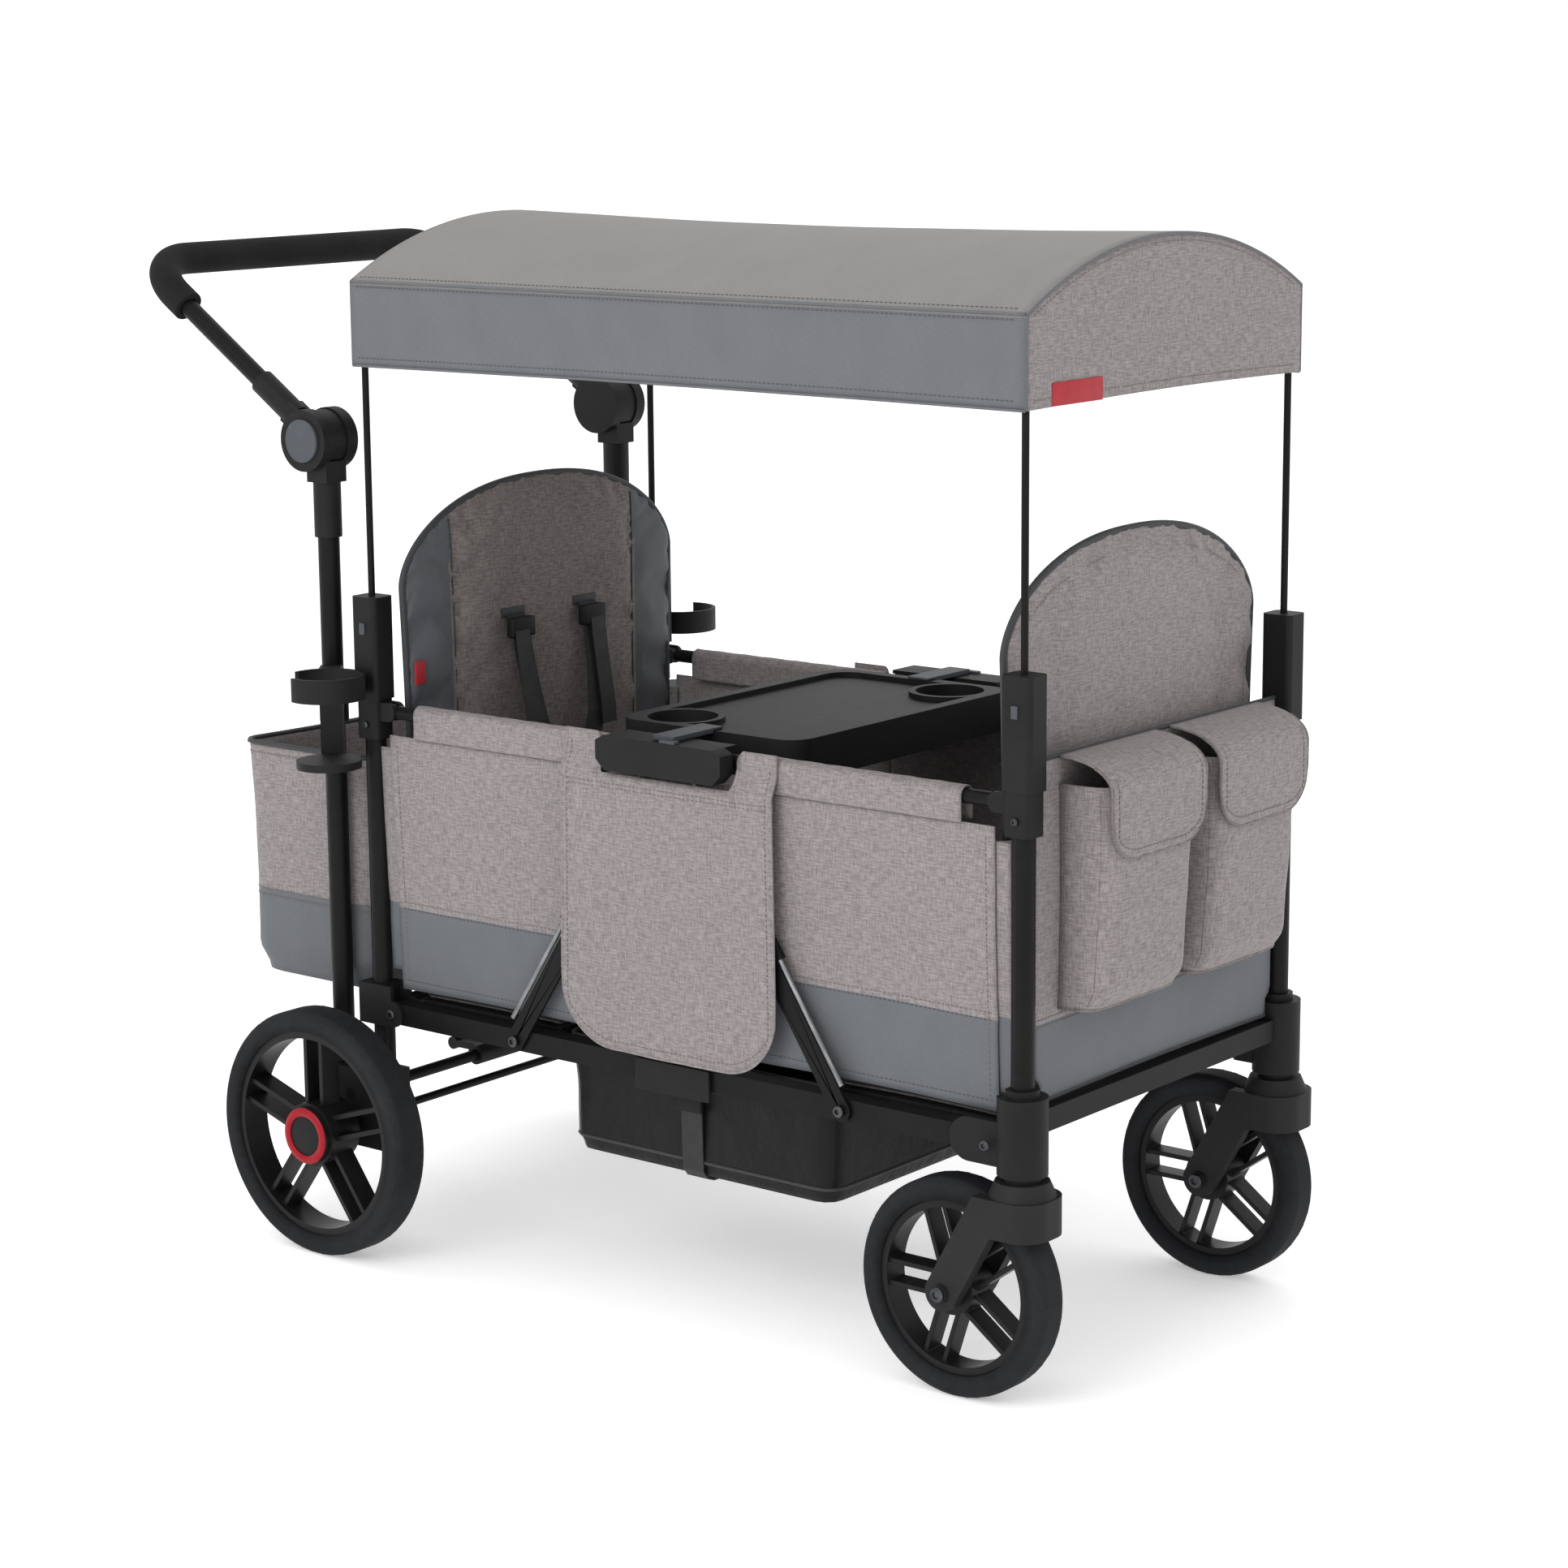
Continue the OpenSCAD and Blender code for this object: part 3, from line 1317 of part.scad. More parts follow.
module front_pockets() color(heather) placed() both_sides() {
    y0 = pocket_gap / 2;
    difference() {
        plate_xz(pocket_outline(0, pocket_top_z - pocket_mouth), y0, y0 + pocket_w);
        plate_xz(
            pocket_outline(cloth_t, pocket_top_z - pocket_mouth + over), y0 + cloth_t, y0 + pocket_w - cloth_t
        );
    }
    plate_xz(
        concat(
            [[pocket_x, pocket_top_z]], flap_arc(flap_r), [[flap_x + flap_t, pocket_top_z - flap_drop]],
            [[flap_x, pocket_top_z - flap_drop]],
            [for (k = [0:8]) flap_arc(flap_r - flap_t)[8 - k]], [[pocket_x, pocket_top_z - flap_t]]
        ),
        y0, y0 + pocket_w
    );
}

// Canopy: an open-bottomed shell with an arched roof, carried by a bow at each end

function arch(half_w, r, low_z) = concat(
    [[-half_w, low_z]],
    [for (k = [0:roof_steps]) let (y = half_w * (2 * k / roof_steps - 1)) [y, roof_centre_z + sqrt(r * r - y * y)]],
    [[half_w, low_z]]
);

module canopy_cover() color(satin_grey) placed() difference() {
    plate_yz(arch(canopy_w / 2, roof_r, canopy_hem_z), -canopy_len / 2, canopy_len / 2);
    plate_yz(
        arch(canopy_w / 2 - canopy_cloth, roof_r - canopy_cloth, canopy_hem_z - over),
        -canopy_len / 2 + canopy_cloth, canopy_len / 2 - canopy_cloth
    );
}

module canopy_bow() {
    both_sides() {
        bar_z(rod_d, [px, py], rod_low_z, bow_end_z);
        translate([px, py, bow_end_z]) sphere(d = bow_joint_d);
    }
    translate([px, 0, roof_centre_z]) rotate([90, 0, 90]) rotate([0, 0, 90 - bow_end_angle])
        rotate_extrude(angle = 2 * bow_end_angle) translate([bow_r, 0]) circle(d = rod_d);
}

module canopy_bow_front() color(frame_black) placed() canopy_bow();

module canopy_bow_rear() color(frame_black) placed() rear_end() canopy_bow();

// Snack tray with two cup wells and a recessed middle, clipped over the lock housings

tray_well_at = [tray_len / 2 - tray_well_inset_x, tray_w / 2 - tray_well_inset_y];

module tray() color(plastic_black) placed() difference() {
    union() {
        difference() {
            rounded_post(tray_len, tray_w, tray_r, [0, 0], tray_top_z - tray_skirt_h, tray_top_z);
            rounded_post(
                tray_len - 2 * tray_wall, tray_w - 2 * tray_wall, tray_r - tray_wall, [0, 0],
                tray_top_z - tray_skirt_h - over, tray_top_z - tray_plate_t
            );
            difference() {
                rounded_post(
                    tray_len - 2 * tray_margin, tray_w - 2 * tray_margin, tray_r, [0, 0],
                    tray_top_z - tray_recess, tray_top_z + over
                );
                for (s = [-1, 1]) bar_z(
                    tray_well_d + tray_margin, s * tray_well_at, tray_top_z - tray_plate_t, tray_top_z + 2 * over
                );
            }
        }
        for (s = [-1, 1]) bar_z(
            tray_well_d + 2 * tray_wall, s * tray_well_at, tray_top_z - tray_well_depth - tray_wall, tray_top_z
        );
    }
    for (s = [-1, 1]) bar_z(tray_well_d, s * tray_well_at, tray_top_z - tray_well_depth, tray_top_z + over);
}

clip_inner_y = tray_w / 2 - tray_margin;

module tray_clips() color(cap_grey) placed() both_sides() {
    block(
        [-clip_w / 2, clip_inner_y, tray_top_z + fit_gap],
        [clip_w / 2, tray_w / 2 + seat_gap + clip_t, tray_top_z + clip_t]
    );
    block(
        [-clip_w / 2, tray_w / 2 + seat_gap, lock_top_z + seat_gap],
        [clip_w / 2, lock_outer_y - lock_t / 2, tray_top_z + clip_t]
    );
}

rear_posts();
rear_brackets();
axle_carriers();
rear_axle();
handle_posts();
handle_knuckles();
rear_rod_sockets();
cup_holders();
rear_basket();
rear_seat_back();
brake_pedal();
rear_tyre_left();
rear_rim_left();
rear_tyre_right();
rear_rim_right();
handle_arms();
handle_bar();
handle_grip();
knuckle_button_left();
knuckle_button_right();
lower_rails_rear();
floor_board_rear();
rear_seat_pad();
floor_link();
footwell();
lower_rails_front();
floor_board_front();
front_seat_pad();
upper_rails_rear();
side_panels_rear();
lock_housings();
lock_buttons();
side_aprons();
upper_rails_front();
side_panels_front();
struts_rear();
strut_rods_rear();
struts_front();
strut_rods_front();
front_posts();
front_brackets();
front_rod_sockets();
front_panel();
front_pockets();
front_seat_back();
fork_left();
fork_right();
front_tyre_left();
front_rim_left();
front_tyre_right();
front_rim_right();
canopy_bow_rear();
canopy_cover();
canopy_bow_front();
rod_button_rear_left();
rod_button_rear_right();
rod_button_front_left();
rod_button_front_right();
tray();
tray_clips();
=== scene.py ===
"""Looks of the stroller wagon: finishes, sewn cloth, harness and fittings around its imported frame."""

import json
import logging
import math
from dataclasses import dataclass
from enum import Enum
from typing import Callable, Iterable, Sequence

import bmesh
import bpy
import numpy as np
from mathutils import Euler, Matrix, Vector

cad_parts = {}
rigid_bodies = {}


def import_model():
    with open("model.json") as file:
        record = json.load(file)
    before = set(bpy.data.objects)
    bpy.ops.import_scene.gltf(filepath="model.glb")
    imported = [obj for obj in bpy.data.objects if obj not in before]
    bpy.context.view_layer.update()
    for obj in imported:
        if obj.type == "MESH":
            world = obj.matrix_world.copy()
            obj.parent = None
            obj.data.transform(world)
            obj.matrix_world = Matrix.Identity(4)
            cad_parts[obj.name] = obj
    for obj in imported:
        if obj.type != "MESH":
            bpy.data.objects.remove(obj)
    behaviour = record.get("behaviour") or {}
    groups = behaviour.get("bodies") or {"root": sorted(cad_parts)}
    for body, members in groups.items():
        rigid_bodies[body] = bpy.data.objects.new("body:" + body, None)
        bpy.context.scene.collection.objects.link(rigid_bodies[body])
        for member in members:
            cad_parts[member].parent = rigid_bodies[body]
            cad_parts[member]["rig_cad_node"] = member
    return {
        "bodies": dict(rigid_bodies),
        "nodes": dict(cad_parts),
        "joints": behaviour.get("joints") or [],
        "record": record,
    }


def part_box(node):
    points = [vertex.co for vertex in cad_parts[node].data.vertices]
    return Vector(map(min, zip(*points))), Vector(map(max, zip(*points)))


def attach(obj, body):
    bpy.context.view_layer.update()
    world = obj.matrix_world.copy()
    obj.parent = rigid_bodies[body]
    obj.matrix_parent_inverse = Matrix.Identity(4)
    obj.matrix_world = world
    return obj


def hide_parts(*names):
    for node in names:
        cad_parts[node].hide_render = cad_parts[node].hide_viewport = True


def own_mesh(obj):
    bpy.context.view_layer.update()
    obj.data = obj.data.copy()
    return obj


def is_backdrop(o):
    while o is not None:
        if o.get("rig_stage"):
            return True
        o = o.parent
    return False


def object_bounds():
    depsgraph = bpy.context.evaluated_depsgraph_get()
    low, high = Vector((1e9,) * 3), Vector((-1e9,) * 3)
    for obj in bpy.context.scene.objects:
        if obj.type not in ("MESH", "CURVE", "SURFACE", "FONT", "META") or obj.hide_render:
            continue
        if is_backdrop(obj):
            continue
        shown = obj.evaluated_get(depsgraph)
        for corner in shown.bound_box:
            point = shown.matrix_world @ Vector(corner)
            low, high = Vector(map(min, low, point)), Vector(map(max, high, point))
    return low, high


logging.basicConfig(level=logging.INFO, format="%(name)s: %(message)s")
log = logging.getLogger("wagon")

Colour = tuple[float, float, float]
Point = Sequence[float]
Profile = Sequence[tuple[float, float]]

# Metres in a millimetre
MM = 0.001
# Place of the middle of the four posts along X, in metres
MID = 0.1561316


class Kind(Enum):
    """Families of surface, each with its own node recipe."""

    POWDER = "powder"
    PLASTIC = "plastic"
    TYRE = "tyre"
    FOAM = "foam"
    HEATHER = "heather"
    SATIN = "satin"
    NYLON = "nylon"
    WEBBING = "webbing"
    STEEL = "steel"
    THREAD = "thread"
    FLOOR = "floor"


class Side(Enum):
    """The two sides of the wagon, as signs of Y."""

    LEFT = 1
    RIGHT = -1

    @property
    def word(self) -> str:
        """Lower-case name used in piece names."""
        return self.name.lower()


class End(Enum):
    """The two ends of the wagon, as signs of X about the middle of the frame."""

    FRONT = 1
    REAR = -1

    @property
    def word(self) -> str:
        """Lower-case name used in piece names."""
        return self.name.lower()


def srgb(red: int, green: int, blue: int) -> Colour:
    """Converts an 8-bit display colour to linear light.

    Args:
        red: Red, 0 to 255.
        green: Green, 0 to 255.
        blue: Blue, 0 to 255.

    Returns:
        The colour in linear light.
    """

    def one(value: int) -> float:
        share = value / 255
        return share / 12.92 if share <= 0.04045 else ((share + 0.055) / 1.055) ** 2.4

    return one(red), one(green), one(blue)


@dataclass(frozen=True)
class Finish:
    """One named surface.

    Attributes:
        name: Name of the material.
        kind: Recipe that builds it.
        base: Main colour in linear light.
        accent: Second colour of the recipe, such as the light thread of a melange, or the painted highlight
            on the folds of a smooth weave and the ribs of a strap.
        roughness: Mean roughness.
        grain: Size of the finest visible grain in metres.
        depth: Height of the grain in metres.
        slot: Material slot of the record that it follows; not used.
    """

    name: str
    kind: Kind
    base: Colour
    accent: Colour = (0.0, 0.0, 0.0)
    roughness: float = 0.6
    grain: float = 0.001
    depth: float = 0.0001
    slot: str | None = None


@dataclass(frozen=True)
class Palette:
    """All finishes of the wagon."""

    powder: Finish = Finish(
        "powder_black", Kind.POWDER, srgb(15, 15, 16), srgb(24, 24, 25), 0.42, 0.0012, 0.00003,
        "powder_black"
    )
    plastic: Finish = Finish(
        "moulded_black", Kind.PLASTIC, srgb(20, 20, 21), srgb(30, 30, 31), 0.55, 0.0009, 0.00004,
        "plastic_black"
    )
    fork: Finish = Finish(
        "moulded_charcoal", Kind.PLASTIC, srgb(30, 30, 31), srgb(39, 39, 40), 0.58, 0.0009, 0.00004,
        "plastic_black"
    )
    rim: Finish = Finish(
        "rim_black", Kind.PLASTIC, srgb(18, 18, 19), srgb(28, 28, 29), 0.4, 0.001, 0.00003, "plastic_black"
    )
    tyre: Finish = Finish(
        "tyre_rubber", Kind.TYRE, srgb(29, 30, 33), srgb(43, 44, 46), 0.78, 0.0025, 0.00012, "tyre_black"
    )
    foam: Finish = Finish(
        "grip_foam", Kind.FOAM, srgb(22, 22, 23), srgb(36, 36, 37), 0.88, 0.0016, 0.00022, "grip_foam"
    )
    cap: Finish = Finish(
        "cap_grey", Kind.PLASTIC, srgb(64, 67, 72), srgb(80, 83, 88), 0.5, 0.0008, 0.00003, "cap_grey"
    )
    heather: Finish = Finish(
        "heather_weave", Kind.HEATHER, srgb(110, 104, 104), srgb(150, 143, 143), 0.9, 0.0012, 0.00016,
        "heather"
    )
    # Darker copy of the melange: painted shade on the middle panel of the seat backs' seating face, and the
    # trim colour of the pockets' piping, seams and flap edge.
    heather_shade: Finish = Finish(
        "heather_weave_deep", Kind.HEATHER, srgb(90, 84, 82), srgb(132, 125, 122), 0.9, 0.0012, 0.00016,
        "heather"
    )
    satin: Finish = Finish(
        "satin_weave", Kind.SATIN, srgb(88, 91, 95), srgb(100, 103, 107), 0.62, 0.0009, 0.0001, "satin_grey"
    )
    satin_dark: Finish = Finish(
        "satin_weave_dark", Kind.SATIN, srgb(76, 78, 82), srgb(90, 92, 96), 0.6, 0.0009, 0.0001,
        "satin_grey"
    )
    roof: Finish = Finish(
        "roof_weave", Kind.SATIN, srgb(122, 120, 118), srgb(135, 133, 131), 0.72, 0.0009, 0.0001,
        "satin_grey"
    )
    valance: Finish = Finish(
        "valance_weave", Kind.SATIN, srgb(91, 93, 97), srgb(103, 105, 109), 0.62, 0.0009, 0.0001,
        "satin_grey"
    )
    piping: Finish = Finish(
        "piping_grey", Kind.SATIN, srgb(88, 89, 92), srgb(104, 105, 108), 0.6, 0.0008, 0.0001, "satin_grey"
    )
    piping_dark: Finish = Finish(
        "piping_dark", Kind.SATIN, srgb(46, 47, 50), srgb(60, 61, 64), 0.6, 0.0008, 0.0001, "nylon_black"
    )
    nylon: Finish = Finish(
        "nylon_black", Kind.NYLON, srgb(13, 13, 14), srgb(26, 26, 28), 0.36, 0.0014, 0.00012, "nylon_black"
    )
    mesh_black: Finish = Finish(
        "lining_black", Kind.NYLON, srgb(14, 14, 15), srgb(26, 26, 28), 0.6, 0.0014, 0.0001, "nylon_black"
    )
    webbing: Finish = Finish(
        "webbing_black", Kind.WEBBING, srgb(18, 18, 19), srgb(46, 46, 48), 0.7, 0.0022, 0.0003,
        "nylon_black"
    )
    red: Finish = Finish(
        "tab_red", Kind.WEBBING, srgb(150, 14, 30), srgb(176, 30, 44), 0.65, 0.001, 0.00012, "heather"
    )
    ring_red: Finish = Finish(
        "ring_red", Kind.PLASTIC, srgb(140, 12, 26), srgb(160, 24, 38), 0.35, 0.001, 0.00002, "cap_grey"
    )
    steel: Finish = Finish(
        "rod_steel", Kind.STEEL, srgb(112, 113, 115), srgb(150, 151, 153), 0.34, 0.0006, 0.00002,
        "rod_steel"
    )
    steel_dark: Finish = Finish(
        "screw_steel", Kind.STEEL, srgb(58, 59, 61), srgb(92, 93, 96), 0.38, 0.0006, 0.00002, "rod_steel"
    )
    thread: Finish = Finish(
        "thread_grey", Kind.THREAD, srgb(98, 92, 89), srgb(120, 114, 110), 0.8, 0.0005, 0.00005, "heather"
    )
    thread_dark: Finish = Finish(
        "thread_dark", Kind.THREAD, srgb(66, 67, 70), srgb(82, 83, 86), 0.8, 0.0005, 0.00005, "satin_grey"
    )
    floor: Finish = Finish(
        "studio_floor", Kind.FLOOR, srgb(246, 246, 246), srgb(250, 250, 250), 0.85, 0.02, 0.00002, None
    )


class Sock:
    """A shader output that takes part in arithmetic."""

    def __init__(self, graph: "Graph", out: bpy.types.NodeSocket) -> None:
        self.graph = graph
        self.out = out

    def __add__(self, other: "Sock | float") -> "Sock":
        return self.graph.math("ADD", self, other)

    __radd__ = __add__

    def __sub__(self, other: "Sock | float") -> "Sock":
        return self.graph.math("SUBTRACT", self, other)

    def __rsub__(self, other: float) -> "Sock":
        return self.graph.math("SUBTRACT", other, self)

    def __mul__(self, other: "Sock | float") -> "Sock":
        return self.graph.math("MULTIPLY", self, other)

    __rmul__ = __mul__

    def __truediv__(self, other: "Sock | float") -> "Sock":
        return self.graph.math("DIVIDE", self, other)

    def sine(self) -> "Sock":
        """Sine of the value, in radians."""
        return self.graph.math("SINE", self, 0.0)

    def above(self, level: float) -> "Sock":
        """1 where the value is above a level, else 0."""
        return self.graph.math("GREATER_THAN", self, level)

    def ease(self, low: float, high: float) -> "Sock":
        """Smooth step from 0 at low to 1 at high."""
        return self.graph.ease(self, low, high)


class Graph:
    """Builds the node tree of one material."""

    def __init__(self, material: bpy.types.Material) -> None:
        material.use_nodes = True
        self.tree = material.node_tree
        self.tree.nodes.clear()

    def make(self, kind: str, feeds: dict | None = None, **settings) -> bpy.types.Node:
        """Creates any node.

        Args:
            kind: Blender's node type.
            feeds: Input name or index to a Sock or a constant.
            settings: Attributes of the node.

        Returns:
            The new node.
        """
        node = self.tree.nodes.new(kind)
        for name, value in settings.items():
            setattr(node, name, value)
        for key, value in (feeds or {}).items():
            if isinstance(value, Sock):
                self.tree.links.new(value.out, node.inputs[key])
            else:
                node.inputs[key].default_value = value
        return node

    def math(self, operation: str, first: "Sock | float", second: "Sock | float") -> Sock:
        """A maths node of one or two values."""
        return Sock(self, self.make("ShaderNodeMath", {0: first, 1: second}, operation=operation).outputs[0])

    def ease(self, value: Sock, low: float, high: float) -> Sock:
        """A smooth step between two levels."""
        feeds = {"Value": value, "From Min": low, "From Max": high, "To Min": 0.0, "To Max": 1.0}
        node = self.make("ShaderNodeMapRange", feeds, interpolation_type="SMOOTHSTEP")
        return Sock(self, node.outputs["Result"])

    def coordinates(self, cloth: bool) -> Sock:
        """Metres in space for a hard piece, or in the plane that a cloth face lies nearest to."""
        node = self.make("ShaderNodeTexCoord")
        place = Sock(self, node.outputs["Object"])
        if not cloth:
            return place
        x, y, z = self.split(place)
        tilt = self.split(Sock(self, node.outputs["Normal"]))
        nx, ny, nz = (self.math("ABSOLUTE", part, 0.0) for part in tilt)
        lies = nz.above(0.8)
        upright = x + (y - x) * self.math("GREATER_THAN", nx, ny)
        return self.join(upright + (x - upright) * lies, z + (y - z) * lies)

    def split(self, vector: Sock) -> tuple[Sock, Sock, Sock]:
        """The three parts of a vector."""
        node = self.make("ShaderNodeSeparateXYZ", {0: vector})
        return Sock(self, node.outputs[0]), Sock(self, node.outputs[1]), Sock(self, node.outputs[2])

    def join(self, x: "Sock | float", y: "Sock | float", z: "Sock | float" = 0.0) -> Sock:
        """A vector of three parts."""
        return Sock(self, self.make("ShaderNodeCombineXYZ", {0: x, 1: y, 2: z}).outputs[0])

    def noise(self, vector: Sock, scale: float, detail: float = 2.0, rough: float = 0.5) -> Sock:
        """Fractal noise from 0 to 1."""
        feeds = {"Vector": vector, "Scale": scale, "Detail": detail, "Roughness": rough}
        return Sock(self, self.make("ShaderNodeTexNoise", feeds).outputs[0])

    def blend(self, share: Sock, low: Colour, high: Colour) -> Sock:
        """A colour between two colours."""
        node = self.make("ShaderNodeMix", {0: share, 6: (*low, 1.0), 7: (*high, 1.0)}, data_type="RGBA")
        return Sock(self, node.outputs[2])

    def bump(self, height: Sock, distance: float, strength: float = 1.0) -> Sock:
        """A normal tilted by a height field."""
        feeds = {"Height": height, "Distance": distance, "Strength": strength}
        return Sock(self, self.make("ShaderNodeBump", feeds).outputs[0])

    def surface(self, feeds: dict) -> None:
        """Ends the tree in one principled surface."""
        shader = self.make("ShaderNodeBsdfPrincipled", feeds)
        self.make("ShaderNodeOutputMaterial", {"Surface": Sock(self, shader.outputs[0])})


class Paint:
    """Makes each finish into a material once, and applies it."""

    def __init__(self) -> None:
        self.made: dict[str, bpy.types.Material] = {}

    def material(self, finish: Finish) -> bpy.types.Material:
        """The material of a finish, made on first use."""
        if finish.name not in self.made:
            material = bpy.data.materials.new(finish.name)
            self.recipe(Graph(material), finish)
            material.diffuse_color = (*finish.base, 1.0)
            self.made[finish.name] = material
        return self.made[finish.name]

    def coat(self, obj: bpy.types.Object, *finishes: Finish) -> bpy.types.Object:
        """Gives an object its finishes, one per material index."""
        obj.data.materials.clear()
        for finish in finishes:
            obj.data.materials.append(self.material(finish))
        return obj

    def recipe(self, graph: Graph, finish: Finish) -> None:
        """Chooses the node recipe of a finish."""
        if finish.kind is Kind.HEATHER:
            self.heather(graph, finish)
        elif finish.kind in (Kind.SATIN, Kind.NYLON):
            self.plain_weave(graph, finish)
        elif finish.kind in (Kind.WEBBING, Kind.THREAD):
            self.ribbed(graph, finish)
        elif finish.kind is Kind.STEEL:
            self.steel(graph, finish)
        else:
            self.moulded(graph, finish)

    def heather(self, graph: Graph, finish: Finish) -> None:
        """Melange cloth: light and dark threads that run both ways."""
        u, v, _ = graph.split(graph.coordinates(True))
        across = graph.noise(graph.join(u * 80.0, v * 560.0), 1.0, 3.0)
        along = graph.noise(graph.join(u * 560.0 + 31.0, v * 80.0), 1.0, 3.0)
        fleck = graph.noise(graph.join(u * 520.0, v * 520.0, 7.0), 1.0, 2.0)
        cloud = graph.noise(graph.join(u, v, 3.0), 9.0, 3.0)
        mixed = (across * 0.5 + along * 0.4 + fleck * 0.1).ease(0.28, 0.72)
        weave = (u * (math.tau / finish.grain)).sine() * (v * (math.tau / finish.grain)).sine()
        crease = graph.noise(graph.join(u * 5.0, v * 3.0, 1.0), 4.0, 4.0, 0.55)
        normal = graph.bump(mixed * 0.6 + weave * 0.2 + crease * 14.0, finish.depth, 0.8)
        shade = (mixed * 0.9 + cloud * 0.1).ease(0.0, 1.0)
        feeds = {"Base Color": graph.blend(shade, finish.base, finish.accent)}
        feeds |= {"Roughness": finish.roughness - mixed * 0.08, "Normal": normal}
        feeds |= {"Sheen Weight": 0.12, "Sheen Roughness": 0.5, "Specular IOR Level": 0.2}
        graph.surface(feeds)

    def plain_weave(self, graph: Graph, finish: Finish) -> None:
        """Smooth cloth with a fine weave, faint creases and a soft shine, its colour painted lighter as
        highlight on the crests of the creases and darker as shade in their hollows.
        """
        u, v, _ = graph.split(graph.coordinates(True))
        weave = (u * (math.tau / finish.grain)).sine() * (v * (math.tau / finish.grain)).sine()
        thread = graph.noise(graph.join(u * 160.0, v * 900.0), 1.0, 2.0)
        crease = graph.noise(graph.join(u * 4.0, v * 2.5, 1.0), 5.0, 4.0, 0.55)
        pull = graph.noise(graph.join(u * 14.0, v * 3.0, 2.0), 3.0, 3.0, 0.6)
        wild = 44.0 if finish.kind is Kind.NYLON else 11.0
        normal = graph.bump(weave * 0.3 + thread * 0.3 + crease * wild + pull * 4.0, finish.depth, 0.85)
        # Painted highlight and shade: besides the random thread streaks, the colour rises with the crease
        # field, lighter on the crests and darker in the hollows.
        shade = (thread * 0.6 + crease * 0.5).ease(0.2, 0.9)
        feeds = {"Base Color": graph.blend(shade, finish.base, finish.accent)}
        feeds |= {"Roughness": finish.roughness + (crease - 0.5) * 0.12, "Normal": normal}
        feeds |= {"Sheen Weight": 0.04, "Specular IOR Level": 0.14 if finish.kind is Kind.NYLON else 0.3}
        graph.surface(feeds)

    def ribbed(self, graph: Graph, finish: Finish) -> None:
        """Webbing and thread: ribs across the strap, with a painted highlight that lightens each rib's crown.
        """
        u, v, _ = graph.split(graph.coordinates(True))
        rib = (v * (math.tau / finish.grain)).sine() * 0.5 + 0.5
        twill = ((u + v * 0.5) * (math.tau / finish.grain)).sine() * 0.5 + 0.5
        worn = graph.noise(graph.join(u * 60.0, v * 60.0), 1.0, 2.0)
        height = rib * 0.7 + twill * 0.3
        # Painted highlight: the colour lightens with the rib height, on top of the random wear.
        shade = (height * 0.5 + worn * 0.4).ease(0.1, 1.0)
        feeds = {"Base Color": graph.blend(shade, finish.base, finish.accent)}
        feeds |= {"Roughness": finish.roughness - worn * 0.1}
        feeds |= {"Normal": graph.bump(height, finish.depth, 0.9)}
        graph.surface(feeds)

    def steel(self, graph: Graph, finish: Finish) -> None:
        """Bright drawn rod with fine lines along it."""
        x, y, z = graph.split(graph.coordinates(False))
        lines = graph.noise(graph.join(x * 40.0, y * 900.0, z * 40.0), 1.0, 3.0)
        shade = lines.ease(0.3, 0.7)
        feeds = {"Base Color": graph.blend(shade, finish.base, finish.accent), "Metallic": 1.0}
        feeds |= {"Roughness": finish.roughness + lines * 0.12}
        feeds |= {"Normal": graph.bump(lines, finish.depth, 0.5)}
        graph.surface(feeds)

    def moulded(self, graph: Graph, finish: Finish) -> None:
        """Hard and rubbery surfaces: an even grain over faint shade changes."""
        place = graph.coordinates(False)
        grain = graph.noise(place, 1.0 / finish.grain, 2.0)
        broad = graph.noise(place, 11.0, 3.0)
        scuff = graph.noise(place, 70.0, 4.0, 0.65)
        share = broad * 0.45 + scuff * 0.35 + grain * 0.2
        swing = 0.16 if finish.kind in (Kind.TYRE, Kind.FOAM) else 0.1
        feeds = {"Base Color": graph.blend(share.ease(0.3, 0.75), finish.base, finish.accent)}
        feeds |= {"Roughness": finish.roughness + (scuff - 0.5) * swing}
        feeds |= {"Normal": graph.bump(grain, finish.depth, 0.7)}
        shine = {Kind.FLOOR: 0.0, Kind.POWDER: 0.12, Kind.TYRE: 0.12}
        feeds |= {"Specular IOR Level": shine.get(finish.kind, 0.18)}
        if finish.kind is Kind.FLOOR:
            feeds |= {"Emission Color": (1.0, 1.0, 1.0, 1.0), "Emission Strength": 0.34}
        graph.surface(feeds)


def at(x: float, y: float, z: float) -> Vector:
    """A point in the row frame from millimetres about the middle of the four posts.

    Args:
        x: Millimetres forward of the middle of the posts.
        y: Millimetres to the left.
        z: Millimetres above the floor.

    Returns:
        The point in metres.
    """
    return Vector((x * MM + MID, y * MM, z * MM))


def lerp(low: float, high: float, share: float) -> float:
    """Linear interpolation."""
    return low + (high - low) * share


def ease(low: float, high: float, value: float) -> float:
    """Smooth step of a value between two levels."""
    share = min(1.0, max(0.0, (value - low) / (high - low)))
    return share * share * (3 - 2 * share)


def wave(seed: int, *values: float) -> float:
    """A repeatable smooth wave between -1 and 1.

    Args:
        seed: Chooses the phases.
        values: Positions, one per axis, in cycles.

    Returns:
        The height of the wave.
    """
    total = 0.0
    for k, value in enumerate(values):
        phase = 1.7 * seed + 2.3 * k
        total += math.sin(math.tau * value + phase) + 0.5 * math.sin(math.tau * 2.13 * value + 1.9 * phase)
    return total / (1.5 * len(values))


